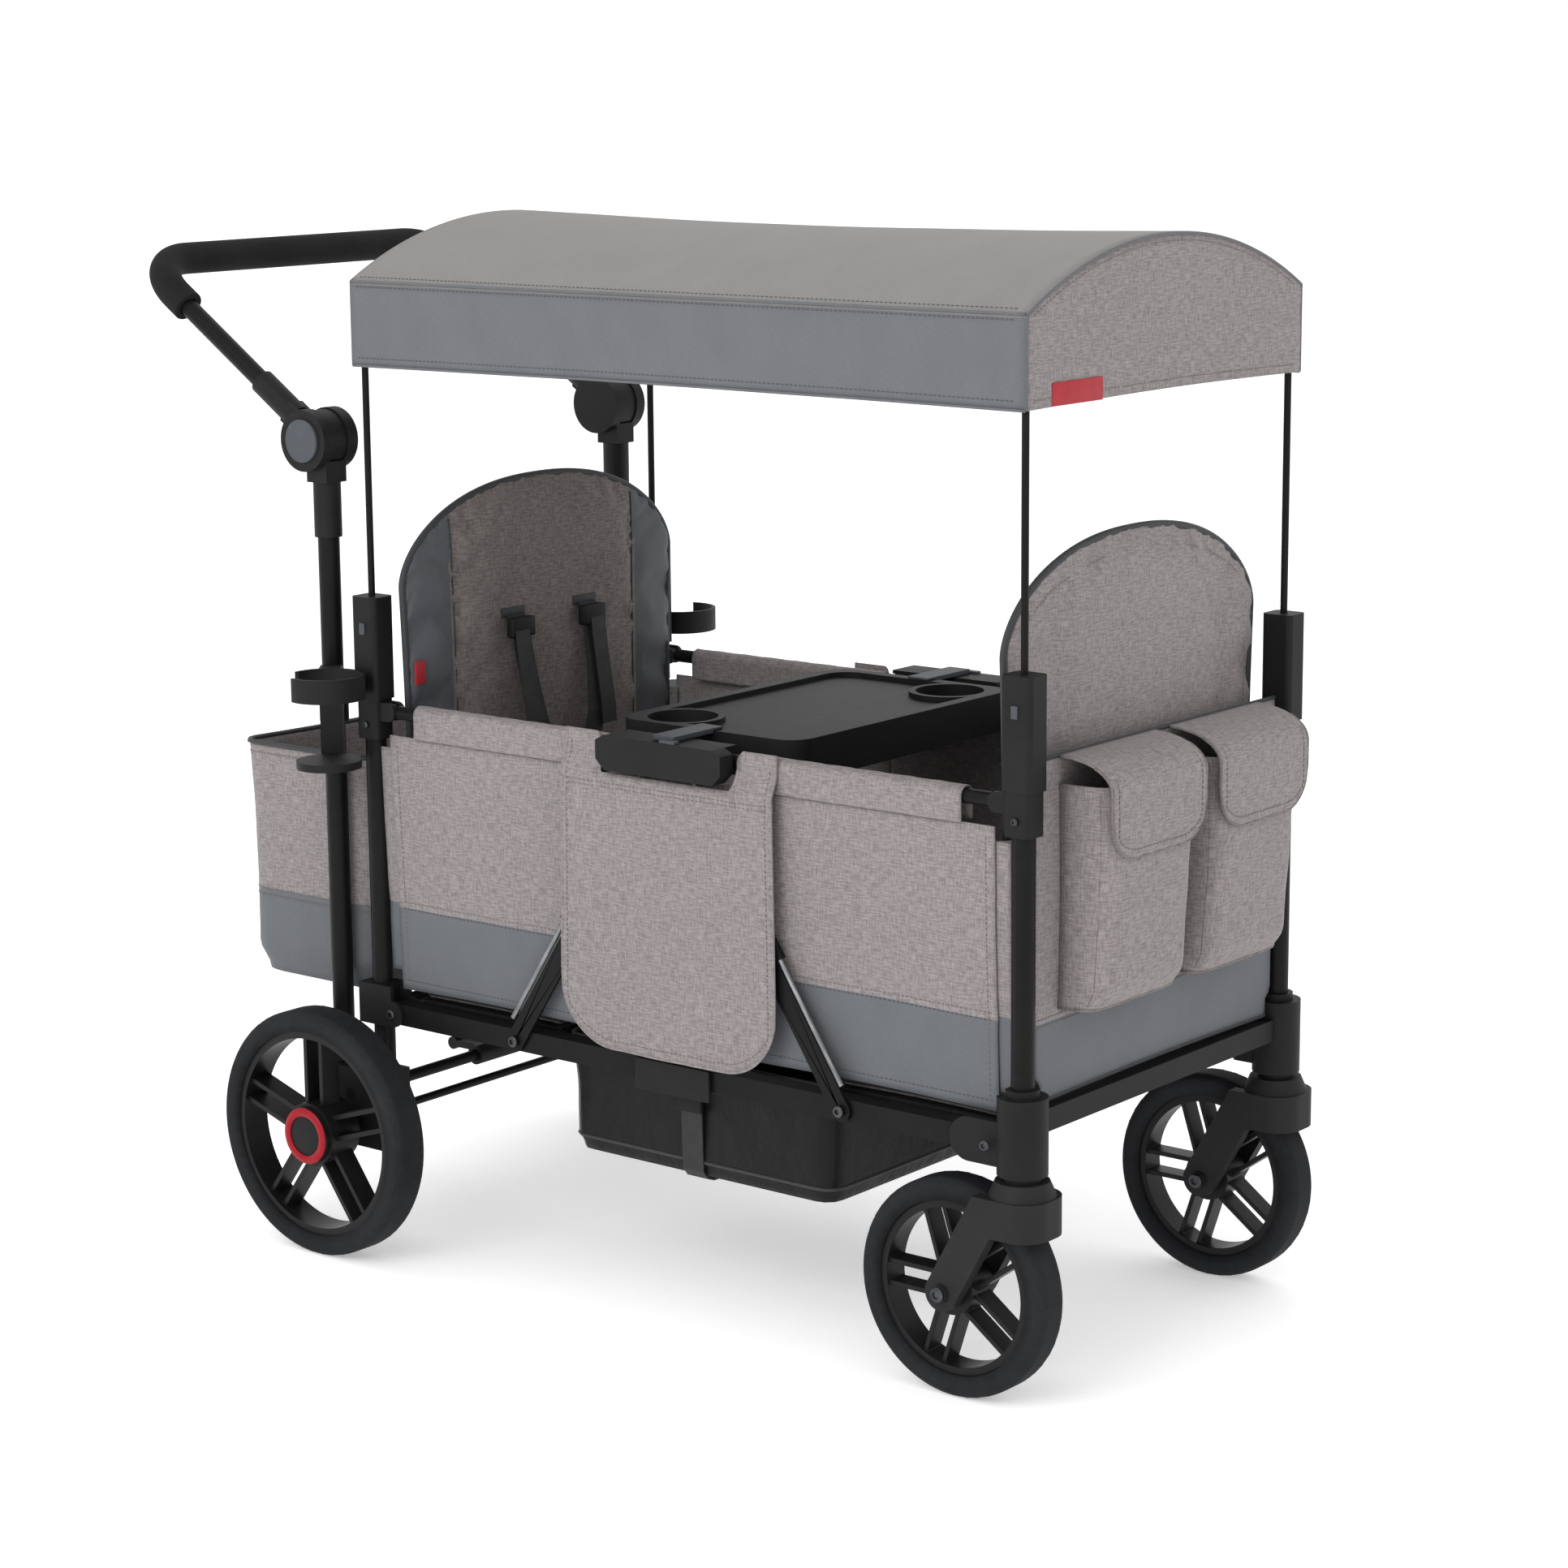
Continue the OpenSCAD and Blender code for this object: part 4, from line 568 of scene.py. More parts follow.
def arc_points(
    centre: Point, radius: float, start: float, end: float, steps: int
) -> list[tuple[float, float]]:
    """Points of an arc in a plane, with angles in degrees."""
    angles = (math.radians(lerp(start, end, k / steps)) for k in range(steps + 1))
    return [(centre[0] + radius * math.cos(a), centre[1] + radius * math.sin(a)) for a in angles]


def resample(path: Sequence[Vector], step: float) -> list[Vector]:
    """Points at even spacing along a polyline."""
    out, carry = [path[0].copy()], step
    for a, b in zip(path, path[1:]):
        length = (b - a).length
        while carry <= length and length > 0:
            out.append(a.lerp(b, carry / length))
            carry += step
        carry -= length
    return out


class Shape:
    """Makers of meshes in the row frame."""

    @staticmethod
    def mesh(
        name: str, points: Iterable[Point], faces: Iterable[Sequence[int]], smooth: bool = True
    ) -> bpy.types.Object:
        """A mesh object from points and faces."""
        data = bpy.data.meshes.new(name)
        data.from_pydata([tuple(p) for p in points], [], [tuple(f) for f in faces])
        data.validate()
        data.update()
        obj = bpy.data.objects.new(name, data)
        bpy.context.scene.collection.objects.link(obj)
        if smooth:
            data.shade_smooth()
        return obj

    @staticmethod
    def bands(rows: int, cols: int, wrap: bool) -> list[tuple[int, int, int, int]]:
        """Quads that join a grid of points, row by row."""
        last = cols if wrap else cols - 1
        return [
            (r * cols + c, r * cols + (c + 1) % cols, (r + 1) * cols + (c + 1) % cols, (r + 1) * cols + c)
            for r in range(rows - 1)
            for c in range(last)
        ]

    @classmethod
    def cloth(
        cls, name: str, place: Callable[[float, float], Vector], nu: int, nv: int, thick: float,
        flip: bool = False,
    ) -> bpy.types.Object:
        """A sheet of cloth with a real thickness and a closed edge.

        Args:
            name: Name of the piece.
            place: Point of the sheet at (u, v), each from 0 to 1.
            nu: Cells along u.
            nv: Cells along v.
            thick: Thickness in metres.
            flip: Turns the outer face to the other side.

        Returns:
            The piece.
        """
        grid = [[Vector(place(c / nu, r / nv)) for c in range(nu + 1)] for r in range(nv + 1)]
        outer, inner = [], []
        for r in range(nv + 1):
            for c in range(nu + 1):
                du = grid[r][min(c + 1, nu)] - grid[r][max(c - 1, 0)]
                dv = grid[min(r + 1, nv)][c] - grid[max(r - 1, 0)][c]
                normal = du.cross(dv)
                normal = normal.normalized() if normal.length > 1e-12 else Vector((0, 0, 1))
                if flip:
                    normal = -normal
                outer.append(grid[r][c] + normal * thick / 2)
                inner.append(grid[r][c] - normal * thick / 2)
        faces = cls.pillow(nu, nv)[0]
        if flip:
            faces = [tuple(reversed(f)) for f in faces]
        return cls.mesh(name, outer + inner, faces)

    @staticmethod
    def rims(path: Sequence[Vector], closed: bool) -> list[tuple[Vector, Vector]]:
        """Two steady cross directions at each point of a path."""
        count = len(path)
        ways = []
        for k in range(count):
            a = path[(k - 1) % count] if closed or k else path[0]
            b = path[(k + 1) % count] if closed or k < count - 1 else path[-1]
            ways.append((b - a).normalized())
        seed = Vector((0, 0, 1)) if abs(ways[0].z) < 0.9 else Vector((1, 0, 0))
        side = ways[0].cross(seed).normalized()
        frames = []
        for k, way in enumerate(ways):
            if k:
                side = ways[k - 1].rotation_difference(way) @ side
            side = (side - way * side.dot(way)).normalized()
            frames.append((side, way.cross(side)))
        return frames

    @classmethod
    def tube(
        cls, name: str, path: Sequence[Vector], radius: float | Sequence[float], sides: int = 10,
        closed: bool = False
    ) -> bpy.types.Object:
        """A round tube along a path, capped unless it is closed."""
        path = [Vector(p) for p in path]
        frames = cls.rims(path, closed)
        radii = [radius] * len(path) if isinstance(radius, (int, float)) else list(radius)
        points = []
        for p, (a, b), r in zip(path, frames, radii):
            points += [
                p + (a * math.cos(t) + b * math.sin(t)) * r
                for t in (math.tau * k / sides for k in range(sides))
            ]
        rows = len(path)
        faces = [tuple(reversed(f)) for f in cls.bands(rows, sides, True)]
        if closed:
            last = (rows - 1) * sides
            faces += [(last + k, k, (k + 1) % sides, last + (k + 1) % sides) for k in range(sides)]
        else:
            faces += [tuple(range(sides)), tuple((rows - 1) * sides + k for k in reversed(range(sides)))]
        obj = cls.mesh(name, points, faces)
        cls.outward(obj)
        return obj

    @classmethod
    def ribbon(
        cls, name: str, path: Sequence[Vector], across: Sequence[Vector], width: float, thick: float
    ) -> bpy.types.Object:
        """A flat strap along a path, with its width along given directions."""
        points = []
        for k, p in enumerate(path):
            way = (path[min(k + 1, len(path) - 1)] - path[max(k - 1, 0)]).normalized()
            side = (across[k] - way * across[k].dot(way)).normalized()
            up = side.cross(way).normalized()
            for a, b in ((-0.5, -0.5), (0.5, -0.5), (0.5, 0.5), (-0.5, 0.5)):
                points.append(p + side * width * a + up * thick * b)
        rows = len(path)
        faces = cls.bands(rows, 4, True) + [(3, 2, 1, 0), tuple((rows - 1) * 4 + k for k in range(4))]
        obj = cls.mesh(name, points, faces, smooth=False)
        cls.outward(obj)
        return obj

    @classmethod
    def block(cls, name: str, low: Point, high: Point, radius: float, segments: int = 3) -> bpy.types.Object:
        """A box with rounded edges."""
        work = bmesh.new()
        bmesh.ops.create_cube(work, size=1.0)
        low, high = Vector(low), Vector(high)
        for v in work.verts:
            v.co = Vector(lerp(low[k], high[k], v.co[k] + 0.5) for k in range(3))
        if radius > 0:
            bmesh.ops.bevel(
                work, geom=list(work.edges), offset=radius, segments=segments, profile=0.5,
                affect="EDGES", clamp_overlap=True
            )
        return cls.from_bmesh(name, work)

    @classmethod
    def lathe(
        cls, name: str, profile: Profile, centre: Point, axis: Point, steps: int = 48,
        closed: bool = False,
    ) -> bpy.types.Object:
        """A turned piece: profile points are (radius, height along the axis)."""
        turn = Vector((0, 0, 1)).rotation_difference(Vector(axis).normalized())
        points = []
        for r, h in profile:
            for k in range(steps):
                a = math.tau * k / steps
                points.append(Vector(centre) + turn @ Vector((r * math.cos(a), r * math.sin(a), h)))
        rows = len(profile)
        faces = cls.bands(rows, steps, True)
        if closed:
            last = (rows - 1) * steps
            faces += [(last + k, last + (k + 1) % steps, (k + 1) % steps, k) for k in range(steps)]
        else:
            faces += [tuple(range(steps)), tuple((rows - 1) * steps + k for k in range(steps))]
        obj = cls.mesh(name, points, faces)
        cls.outward(obj)
        return cls.crease(obj)

    @classmethod
    def stitches(
        cls, name: str, path: Sequence[Vector], normals: Sequence[Vector] | Vector, pitch: float = 0.006,
        width: float = 0.0011
    ) -> bpy.types.Object:
        """A run of raised stitches along a path that lies on a surface."""
        steady = normals if isinstance(normals, Vector) else None
        marks = resample(path, pitch)
        points, faces = [], []
        for k, (a, b) in enumerate(zip(marks, marks[1:])):
            way = b - a
            if way.length < pitch * 0.3:
                continue
            up = steady or normals[min(int(k * len(normals) / len(marks)), len(normals) - 1)]
            side = way.cross(up).normalized() * width / 2
            first, last = a + way * 0.14, a + way * 0.82
            base = len(points)
            rise = up.normalized() * 0.0006
            points += [first - side, first + side, last + side, last - side]
            middle = (first + last) / 2
            points += [middle - side * 0.7 + rise, middle + side * 0.7 + rise]
            faces += [(base, base + 1, base + 5, base + 4), (base + 4, base + 5, base + 2, base + 3)]
            faces += [(base, base + 4, base + 3), (base + 1, base + 2, base + 5)]
        return cls.mesh(name, points, faces, smooth=False)

    @classmethod
    def from_bmesh(cls, name: str, work: bmesh.types.BMesh) -> bpy.types.Object:
        """An object of a finished edit mesh, shaded smooth between sharp edges."""
        data = bpy.data.meshes.new(name)
        bmesh.ops.recalc_face_normals(work, faces=list(work.faces))
        work.to_mesh(data)
        work.free()
        obj = bpy.data.objects.new(name, data)
        bpy.context.scene.collection.objects.link(obj)
        return cls.crease(obj)

    @classmethod
    def pillow(cls, nu: int, nv: int) -> tuple[list[tuple[int, ...]], list[int]]:
        """Faces of two equal grids sewn together at their rims.

        Args:
            nu: Cells along a row.
            nv: Cells along a column.

        Returns:
            The faces, and the rim's points of the first grid in order.
        """
        cols = nu + 1
        size = cols * (nv + 1)
        front = cls.bands(nv + 1, cols, False)
        ring = list(range(cols)) + [r * cols + nu for r in range(1, nv + 1)]
        ring += [nv * cols + c for c in range(nu - 1, -1, -1)] + [r * cols for r in range(nv - 1, 0, -1)]
        faces = front + [tuple(size + i for i in reversed(f)) for f in front]
        faces += [(a, size + a, size + b, b) for a, b in zip(ring, ring[1:] + ring[:1])]
        return faces, ring

    @staticmethod
    def outward(obj: bpy.types.Object) -> None:
        """Turns all faces outward."""
        work = bmesh.new()
        work.from_mesh(obj.data)
        bmesh.ops.recalc_face_normals(work, faces=list(work.faces))
        work.to_mesh(obj.data)
        work.free()

    @staticmethod
    def crease(obj: bpy.types.Object, degrees: float = 38.0) -> bpy.types.Object:
        """Smooth shading, with edges sharper than an angle kept sharp."""
        obj.data.shade_smooth()
        obj.data.set_sharp_from_angle(angle=math.radians(degrees))
        return obj

    @staticmethod
    def puff(obj: bpy.types.Object, sewn: Sequence[float], press: float, cap: float) -> None:
        """Blows a closed pad up by cloth simulation, held where it is sewn.

        Args:
            obj: The pad, in place and without modifiers.
            sewn: How firmly each vertex is held, 0 to 1.
            press: Pressure inside.
            cap: Longest way that a vertex may go, in metres.
        """
        frames = 20
        group = obj.vertex_groups.new(name="sewn")
        for vertex, hold in zip(obj.data.vertices, sewn):
            group.add([vertex.index], hold, "REPLACE")
        cloth = obj.modifiers.new("puff", "CLOTH")
        cloth.point_cache.frame_start, cloth.point_cache.frame_end = 1, frames
        settings = cloth.settings
        settings.quality, settings.mass = 5, 0.3
        settings.tension_stiffness = settings.compression_stiffness = 10.0
        settings.shear_stiffness, settings.bending_stiffness = 4.0, 0.25
        settings.use_pressure, settings.uniform_pressure_force = True, press
        settings.shrink_min = -0.02
        settings.vertex_group_mass, settings.pin_stiffness = "sewn", 1.0
        settings.effector_weights.gravity = 0.0
        scene = bpy.context.scene
        for frame in range(1, frames + 1):
            scene.frame_set(frame)
        moved = obj.evaluated_get(bpy.context.evaluated_depsgraph_get()).data
        steps = [new.co - old.co for new, old in zip(moved.vertices, obj.data.vertices)]
        obj.modifiers.remove(cloth)
        obj.vertex_groups.remove(group)
        scene.frame_set(1)
        for vertex, step in zip(obj.data.vertices, steps):
            vertex.co += step * min(1.0, cap / max(step.length, 1e-9))
        log.info("%s moved by up to %.1f mm", obj.name, 1000 * max(step.length for step in steps))


class Assembly:
    """Base of the sub-assemblies: holds the paint and places finished pieces on bodies."""

    def __init__(self, paint: Paint, palette: Palette) -> None:
        self.paint = paint
        self.palette = palette

    def put(
        self, obj: bpy.types.Object, body: str, *finishes: Finish, replaces: Sequence[str] = ()
    ) -> bpy.types.Object:
        """Paints a piece and fixes it to a body.

        Args:
            obj: The piece, in place.
            body: Body that carries it.
            finishes: Finishes in material order; none keeps those it has.
            replaces: CAD nodes that it stands for.

        Returns:
            The piece.
        """
        if finishes:
            self.paint.coat(obj, *finishes)
        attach(obj, body)
        if replaces:
            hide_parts(*replaces)
        return obj

    def split_at(
        self, obj: bpy.types.Object, level: float, upper: Finish, lower: Finish
    ) -> bpy.types.Object:
        """Paints faces above a height with one cloth and those below with another."""
        self.paint.coat(obj, upper, lower)
        for face in obj.data.polygons:
            face.material_index = 0 if face.center.z > level else 1
        return obj

    def build(self) -> None:
        """Makes the sub-assembly."""
        raise NotImplementedError


@dataclass
class HardParts(Assembly):
    """Finishes and softened edges of the frame's own hard nodes."""

    paint: Paint
    palette: Palette
    nodes: dict[str, bpy.types.Object]

    def build(self) -> None:
        """Paints every hard node and rounds its edges."""
        p = self.palette
        plan: dict[Finish, dict[str, float]] = {
            p.powder: {
                "rear_posts": 0.4, "handle_posts": 0.4, "front_posts": 0.4, "handle_bar": 0.3,
                "lower_rails_rear": 1.2, "lower_rails_front": 1.2, "upper_rails_rear": 0.4,
                "upper_rails_front": 0.4, "struts_rear": 0.8, "struts_front": 0.8,
                "canopy_bow_rear": 0.2, "canopy_bow_front": 0.2, "rear_axle": 0.4,
            },
            p.plastic: {
                "rear_brackets": 2.5, "axle_carriers": 4.0, "handle_knuckles": 2.0, "rear_rod_sockets": 4.0,
                "cup_holders": 1.2, "brake_pedal": 1.5, "handle_arms": 1.5, "floor_link": 2.5,
                "lock_housings": 7.0, "front_rod_sockets": 4.0, "floor_board_rear": 0.8,
                "floor_board_front": 0.8, "tray": 1.2, "front_brackets": 4.0,
            },
            p.fork: {"fork_left": 6.0, "fork_right": 6.0},
            p.rim: {
                "rear_rim_left": 1.6, "rear_rim_right": 1.6, "front_rim_left": 1.6, "front_rim_right": 1.6
            },
            p.cap: {
                "knuckle_button_left": 1.5, "knuckle_button_right": 1.5, "rod_button_rear_left": 1.0,
                "rod_button_rear_right": 1.0, "rod_button_front_left": 1.0, "rod_button_front_right": 1.0,
                "tray_clips": 1.0, "lock_buttons": 1.0,
            },
            p.steel: {"strut_rods_rear": 0.3, "strut_rods_front": 0.3},
            p.tyre: {
                "rear_tyre_left": 0.0, "rear_tyre_right": 0.0, "front_tyre_left": 0.0,
                "front_tyre_right": 0.0
            },
            p.foam: {"handle_grip": 1.5},
        }
        for finish, widths in plan.items():
            for name, width in widths.items():
                self.soften(self.nodes[name], width)
                self.paint.coat(self.nodes[name], finish)

    def soften(self, obj: bpy.types.Object, width: float) -> None:
        """Welds a node's facets, rounds its edges and shades it smooth."""
        weld = obj.modifiers.new("weld", "WELD")
        weld.merge_threshold = 0.00002
        if width > 0:
            bevel = obj.modifiers.new("edges", "BEVEL")
            bevel.width = width * MM
            bevel.segments = 2 if width < 3 else 4
            bevel.limit_method = "ANGLE"
            bevel.angle_limit = math.radians(40)
            bevel.use_clamp_overlap = True
            bevel.harden_normals = False
        if "custom_normal" in obj.data.attributes:
            obj.data.attributes.remove(obj.data.attributes["custom_normal"])
        obj.data.shade_smooth()
        smooth = obj.modifiers.new("even", "WEIGHTED_NORMAL")
        smooth.keep_sharp = True
        smooth.weight = 60


@dataclass
class Canopy(Assembly):
    """The arched cover: roof and valances as one sheet, a melange panel at each end, piping, hem."""

    paint: Paint
    palette: Palette
    half_len: float = 471.0
    half_w: float = 261.0
    hem: float = 1049.0
    eave: float = 1145.0
    crown: float = 1213.0
    sag: float = 7.0
    arc_share: float = 1.045
    fold_keep: float = 0.47

    @property
    def drop(self) -> float:
        """Height of a valance."""
        return self.eave - self.hem

    @property
    def arc(self) -> float:
        """Length of the roof's arc across the wagon."""
        return 2 * self.half_w * self.arc_share

    def roof_z(self, y: float) -> float:
        """Height of the roof across the wagon."""
        rise = self.crown - self.eave
        radius = (self.half_w**2 + rise**2) / (2 * rise)
        return self.crown - radius + math.sqrt(radius**2 - y**2)

    def profile(self, share: float) -> tuple[float, float]:
        """Point of the cross section: up one valance, over the roof and down the other."""
        drop, arc = self.drop, self.arc
        run = share * (2 * drop + arc)
        if run < drop:
            return -self.half_w, self.hem + run
        if run > drop + arc:
            return self.half_w, self.eave - (run - drop - arc)
        y = lerp(-self.half_w, self.half_w, (run - drop) / arc)
        return y, self.roof_z(y)

    def skin(self, u: float, v: float) -> Vector:
        """Point of the cover sheet, with the cloth slack between the bows."""
        x = lerp(-self.half_len, self.half_len, u)
        y, z = self.profile(v)
        slack = math.sin(math.pi * u)
        if abs(y) < self.half_w - 1:
            over = 1 - (abs(y) / self.half_w) ** 2
            z -= self.sag * slack * over + 1.2 * slack * over * wave(3, u * 1.5, y / 300)
        else:
            low = (self.eave - z) / (self.eave - self.hem)
            y -= math.copysign((3.0 * slack + 1.1 * wave(5, u * 2.2)) * low**0.7 * min(1, slack * 4), y)
            z += 2.0 * slack * low
        return at(x, y, z)

    def build(self) -> None:
        """Makes the cover, end panels, piping, hems and the bare red tab."""
        p = self.palette
        cover = Shape.cloth("canopy_sheet", self.skin, 60, 72, 0.0018, flip=True)
        self.paint.coat(cover, p.roof, p.valance)
        for face in cover.data.polygons:
            c = face.center
            hangs = abs(c.y) > (self.half_w - 5) * MM and c.z < (self.eave - 0.5) * MM
            face.material_index = 1 if hangs else 0
        self.put(cover, "canopy_rear", replaces=("canopy_cover",))
        for end in End:
            self.end_panel(end)
        for side in Side:
            self.valance_trim(side)
        self.tab()
        for obj in list(bpy.context.scene.objects):
            drawn = obj.type == "MESH" and "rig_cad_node" not in obj
            if drawn and obj.name.startswith("canopy_"):
                at(-self.half_len, 0, 0)
                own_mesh(obj)

    def end_panel(self, end: End) -> None:
        """A melange panel under the roof's edge, with piping along the arch and a sewn hem."""
        p, s = self.palette, end.value
        x = s * (self.half_len - 0.4)

        def place(u: float, v: float) -> Vector:
            y = lerp(-self.half_w + 0.6, self.half_w - 0.6, u)
            top = self.roof_z(y) - 0.6
            bow = math.sin(math.pi * u) * math.sin(math.pi * min(1.0, v * 1.1))
            belly = 2.5 * bow + 0.9 * wave(7 + s, u * 2, v)
            z = lerp(self.hem + 3.0 * math.sin(math.pi * u), top, v)
            return at(x - s * abs(belly) * 0.6, y, z)

        panel = Shape.cloth(f"canopy_end_{end.word}", place, 36, 14, 0.0018, flip=s < 0)
        self.put(panel, "canopy_rear", p.heather)
        area = sum(f.area for f in panel.data.polygons) / 2
        width, height = 2 * self.half_w * MM, (self.crown - self.hem) * MM
        min(area, 0.999 * width * height)
        rim = [
            at(x + s * 0.4, y, self.roof_z(y) - 1.2)
            for y in np.linspace(-self.half_w + 1, self.half_w - 1, 60)
        ]
        self.put(Shape.tube(f"canopy_piping_{end.word}", rim, 0.0017, 8), "canopy_rear", p.piping)
        for side in Side:
            edge = [
                at(x + s * 0.2, side.value * (self.half_w - 0.6), z)
                for z in np.linspace(self.hem + 1, self.eave - 1, 12)
            ]
            corner = Shape.tube(f"canopy_corner_{end.word}_{side.word}", edge, 0.0012, 6)
            self.put(corner, "canopy_rear", p.valance)
        out = Vector((s, 0, 0))
        for k, lift in enumerate((9.0, 92.0)):
            line = []
            for y in np.linspace(-self.half_w + 10, self.half_w - 10, 50):
                u = (y + self.half_w) / (2 * self.half_w)
                base = self.hem + 3.0 * math.sin(math.pi * u)
                z = base + lift if k == 0 else self.roof_z(y) - 8
                v = (z - base) / max(1.0, self.roof_z(y) - base)
                line.append(place(u, min(1.0, v)) + out * 0.0011)
            self.put(Shape.stitches(f"canopy_stitch_{end.word}_{k}", line, out), "canopy_rear", p.thread)

    def valance_trim(self, side: Side) -> None:
        """Eave seam and hem stitches of one side."""
        p, s = self.palette, side.value
        drop = self.drop
        total = 2 * drop + self.arc
        share = drop / total
        for name, v, finish, radius in (("eave", share, p.piping, 0.0016), ("hem", 0.0, p.valance, 0.0016)):
            v = v if s < 0 else 1 - v
            line = [self.skin(u, v) + Vector((0, s * 0.0007, 0)) for u in np.linspace(0.002, 0.998, 70)]
            self.put(Shape.tube(f"canopy_{name}_{side.word}", line, radius, 8), "canopy_rear", finish)
        for k, run in enumerate((9.0, drop - 6.0, drop + 7.0)):
            v = run / total if s < 0 else 1 - run / total
            line = [self.skin(u, v) for u in np.linspace(0.01, 0.99, 70)]
            out = Vector((0, s, 0)) if k < 2 else Vector((0, s * 0.45, 0.9))
            line = [q + out * 0.0011 for q in line]
            self.put(Shape.stitches(f"canopy_run_{side.word}_{k}", line, out), "canopy_rear", p.thread_dark)

    def tab(self) -> None:
        """The bare red tab sewn on the front hem."""
        x = self.half_len + 0.9
        tab = Shape.block(
            "canopy_tab", at(x - 0.6, -218, self.hem + 1), at(x + 0.5, -128, self.hem + 25), 0.0004, 2
        )
        self.put(tab, "canopy_rear", self.palette.red)


@dataclass
class SidePanel(Assembly):
    """One half of one side wall: melange above a smooth band, with a hem rolled over the upper rail."""

    paint: Paint
    palette: Palette
    side: Side
    end: End
    low: float = 316.0
    top: float = 622.0
    seam: float = 419.0
    inner: float = 91.0
    reach: float = 431.0
    hem_from: float = 93.0
    hem_to: float = 390.0
    hem_rise: float = 27.0
    hem_tail: float = 26.0
    hem_radius: float = 10.2
    rail_y: float = 250.0
    rail_z: float = 648.5
    edge_low: float = 338.0
    edge_top: float = 606.0
    edge_reach: float = 449.0
    edge_lap: float = 4.0
    edge_inset: float = 3.0
    gather_z: float = 640.0

    def line_y(self, x: float, z: float) -> float:
        """Distance of the cloth from the middle plane, with its pulls and folds."""
        v = (z - self.low) / (self.top - self.low)
        belly = math.sin(math.pi * min(1.0, max(0.0, v)))
        seed = 3 * self.end.value + self.side.value
        fold = 1.5 * wave(seed, x / 260 + 0.4 * v) * belly + 0.7 * wave(seed + 9, x / 90, v * 1.3) * belly
        pull = 1.2 * math.exp(-(((z - self.seam) / 14) ** 2))
        return lerp(247.0, 257.5, v) + 1.6 * belly + fold - pull

    def build(self) -> None:
        """Makes the sheet, the rolled hem, the seam and its stitches."""
        p, s, e = self.palette, self.side.value, self.end.value
        name = f"{self.end.word}_{self.side.word}"
        body = f"upper_{self.end.word}"

        def place(u: float, v: float) -> Vector:
            x = lerp(self.inner, self.reach, u)
            z = lerp(self.low + 2.5 * math.sin(math.pi * u), self.top, v)
            return at(e * x, s * self.line_y(x, z), z)

        sheet = Shape.cloth(f"side_panel_{name}", place, 56, 40, 0.002, flip=s * e > 0)
        self.split_at(sheet, self.seam * MM, p.heather, p.satin)
        replaced = (f"side_panels_{self.end.word}",)
        self.put(sheet, body, replaces=replaced)
        pieces = [sheet, self.hem(name, body)]
        out = Vector((0, s, 0))
        for k, z in enumerate((self.seam + 4, self.seam - 4, self.low + 12)):
            line = [
                at(e * x, s * (self.line_y(x, z) + 1.15), z)
                for x in np.linspace(self.inner + 4, self.reach - 6, 60)
            ]
            finish = p.thread if k == 0 else p.thread_dark
            pieces.append(self.put(Shape.stitches(f"side_stitch_{name}_{k}", line, out), body, finish))
        line = [
            at(e * (self.reach - 11), s * (self.line_y(self.reach - 11, z) + 1.15), z)
            for z in np.linspace(330, 612, 40)
        ]
        pieces.append(self.put(Shape.stitches(f"side_stitch_{name}_end", line, out), body, p.thread))
        for piece in pieces:
            at(0, 0, self.gather_z)
            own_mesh(piece)
        self.edge(name)
        if self.end is End.REAR:
            self.middle()

    def edge(self, name: str) -> None:
        """The strip that closes the wall against the post and stays there when the frame folds."""
        p, s, e = self.palette, self.side.value, self.end.value

        def place(u: float, v: float) -> Vector:
            x = lerp(self.reach - self.edge_lap, self.edge_reach, u)
            z = lerp(self.edge_low, self.edge_top, v)
            return at(e * x, s * (self.line_y(self.reach, z) - self.edge_inset), z)

        strip = Shape.cloth(f"side_edge_{name}", place, 4, 36, 0.002, flip=s * e > 0)
        self.split_at(strip, self.seam * MM, p.heather, p.satin)
        self.put(strip, f"{self.end.word}_frame")

    def middle(self) -> None:
        """The strip of wall under the lock housing, carried by the centre lock."""
        p, s = self.palette, self.side.value

        def place(u: float, v: float) -> Vector:
            x, z = lerp(0.5 - self.inner, self.inner - 0.5, u), lerp(self.low, self.top, v)
            return at(x, s * self.line_y(abs(x), z), z)

        strip = Shape.cloth(f"side_middle_{self.side.word}", place, 24, 40, 0.002, flip=s > 0)
        self.split_at(strip, self.seam * MM, p.heather, p.satin)
        self.put(strip, "centre_lock")
        at(0, 0, 0)
        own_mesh(strip)

    def hem(self, name: str, body: str) -> bpy.types.Object:
        """The tunnel that wraps the upper rail, gathered a little along its length."""
        s, e = self.side.value, self.end.value
        rise, half_turn = self.hem_rise, math.pi * self.hem_radius

        def place(u: float, v: float) -> Vector:
            x = lerp(self.hem_from, self.hem_to, u)
            radius = self.hem_radius + 0.35 * wave(4 + s + e, u * 7.0)
            run = v * (rise + half_turn + self.hem_tail)
            if run < rise:
                y = self.rail_y + radius - 0.3 * math.sin(math.pi * run / rise)
                z = self.rail_z - rise + run
            elif run < rise + half_turn:
                a = (run - rise) / self.hem_radius
                y, z = self.rail_y + radius * math.cos(a), self.rail_z + radius * math.sin(a)
            else:
                y, z = self.rail_y - radius, self.rail_z - (run - rise - half_turn)
            return at(e * x, s * y, z)

        hem = Shape.cloth(f"side_hem_{name}", place, 40, 26, 0.002, flip=s * e > 0)
        self.put(hem, body, self.palette.heather)
        return hem


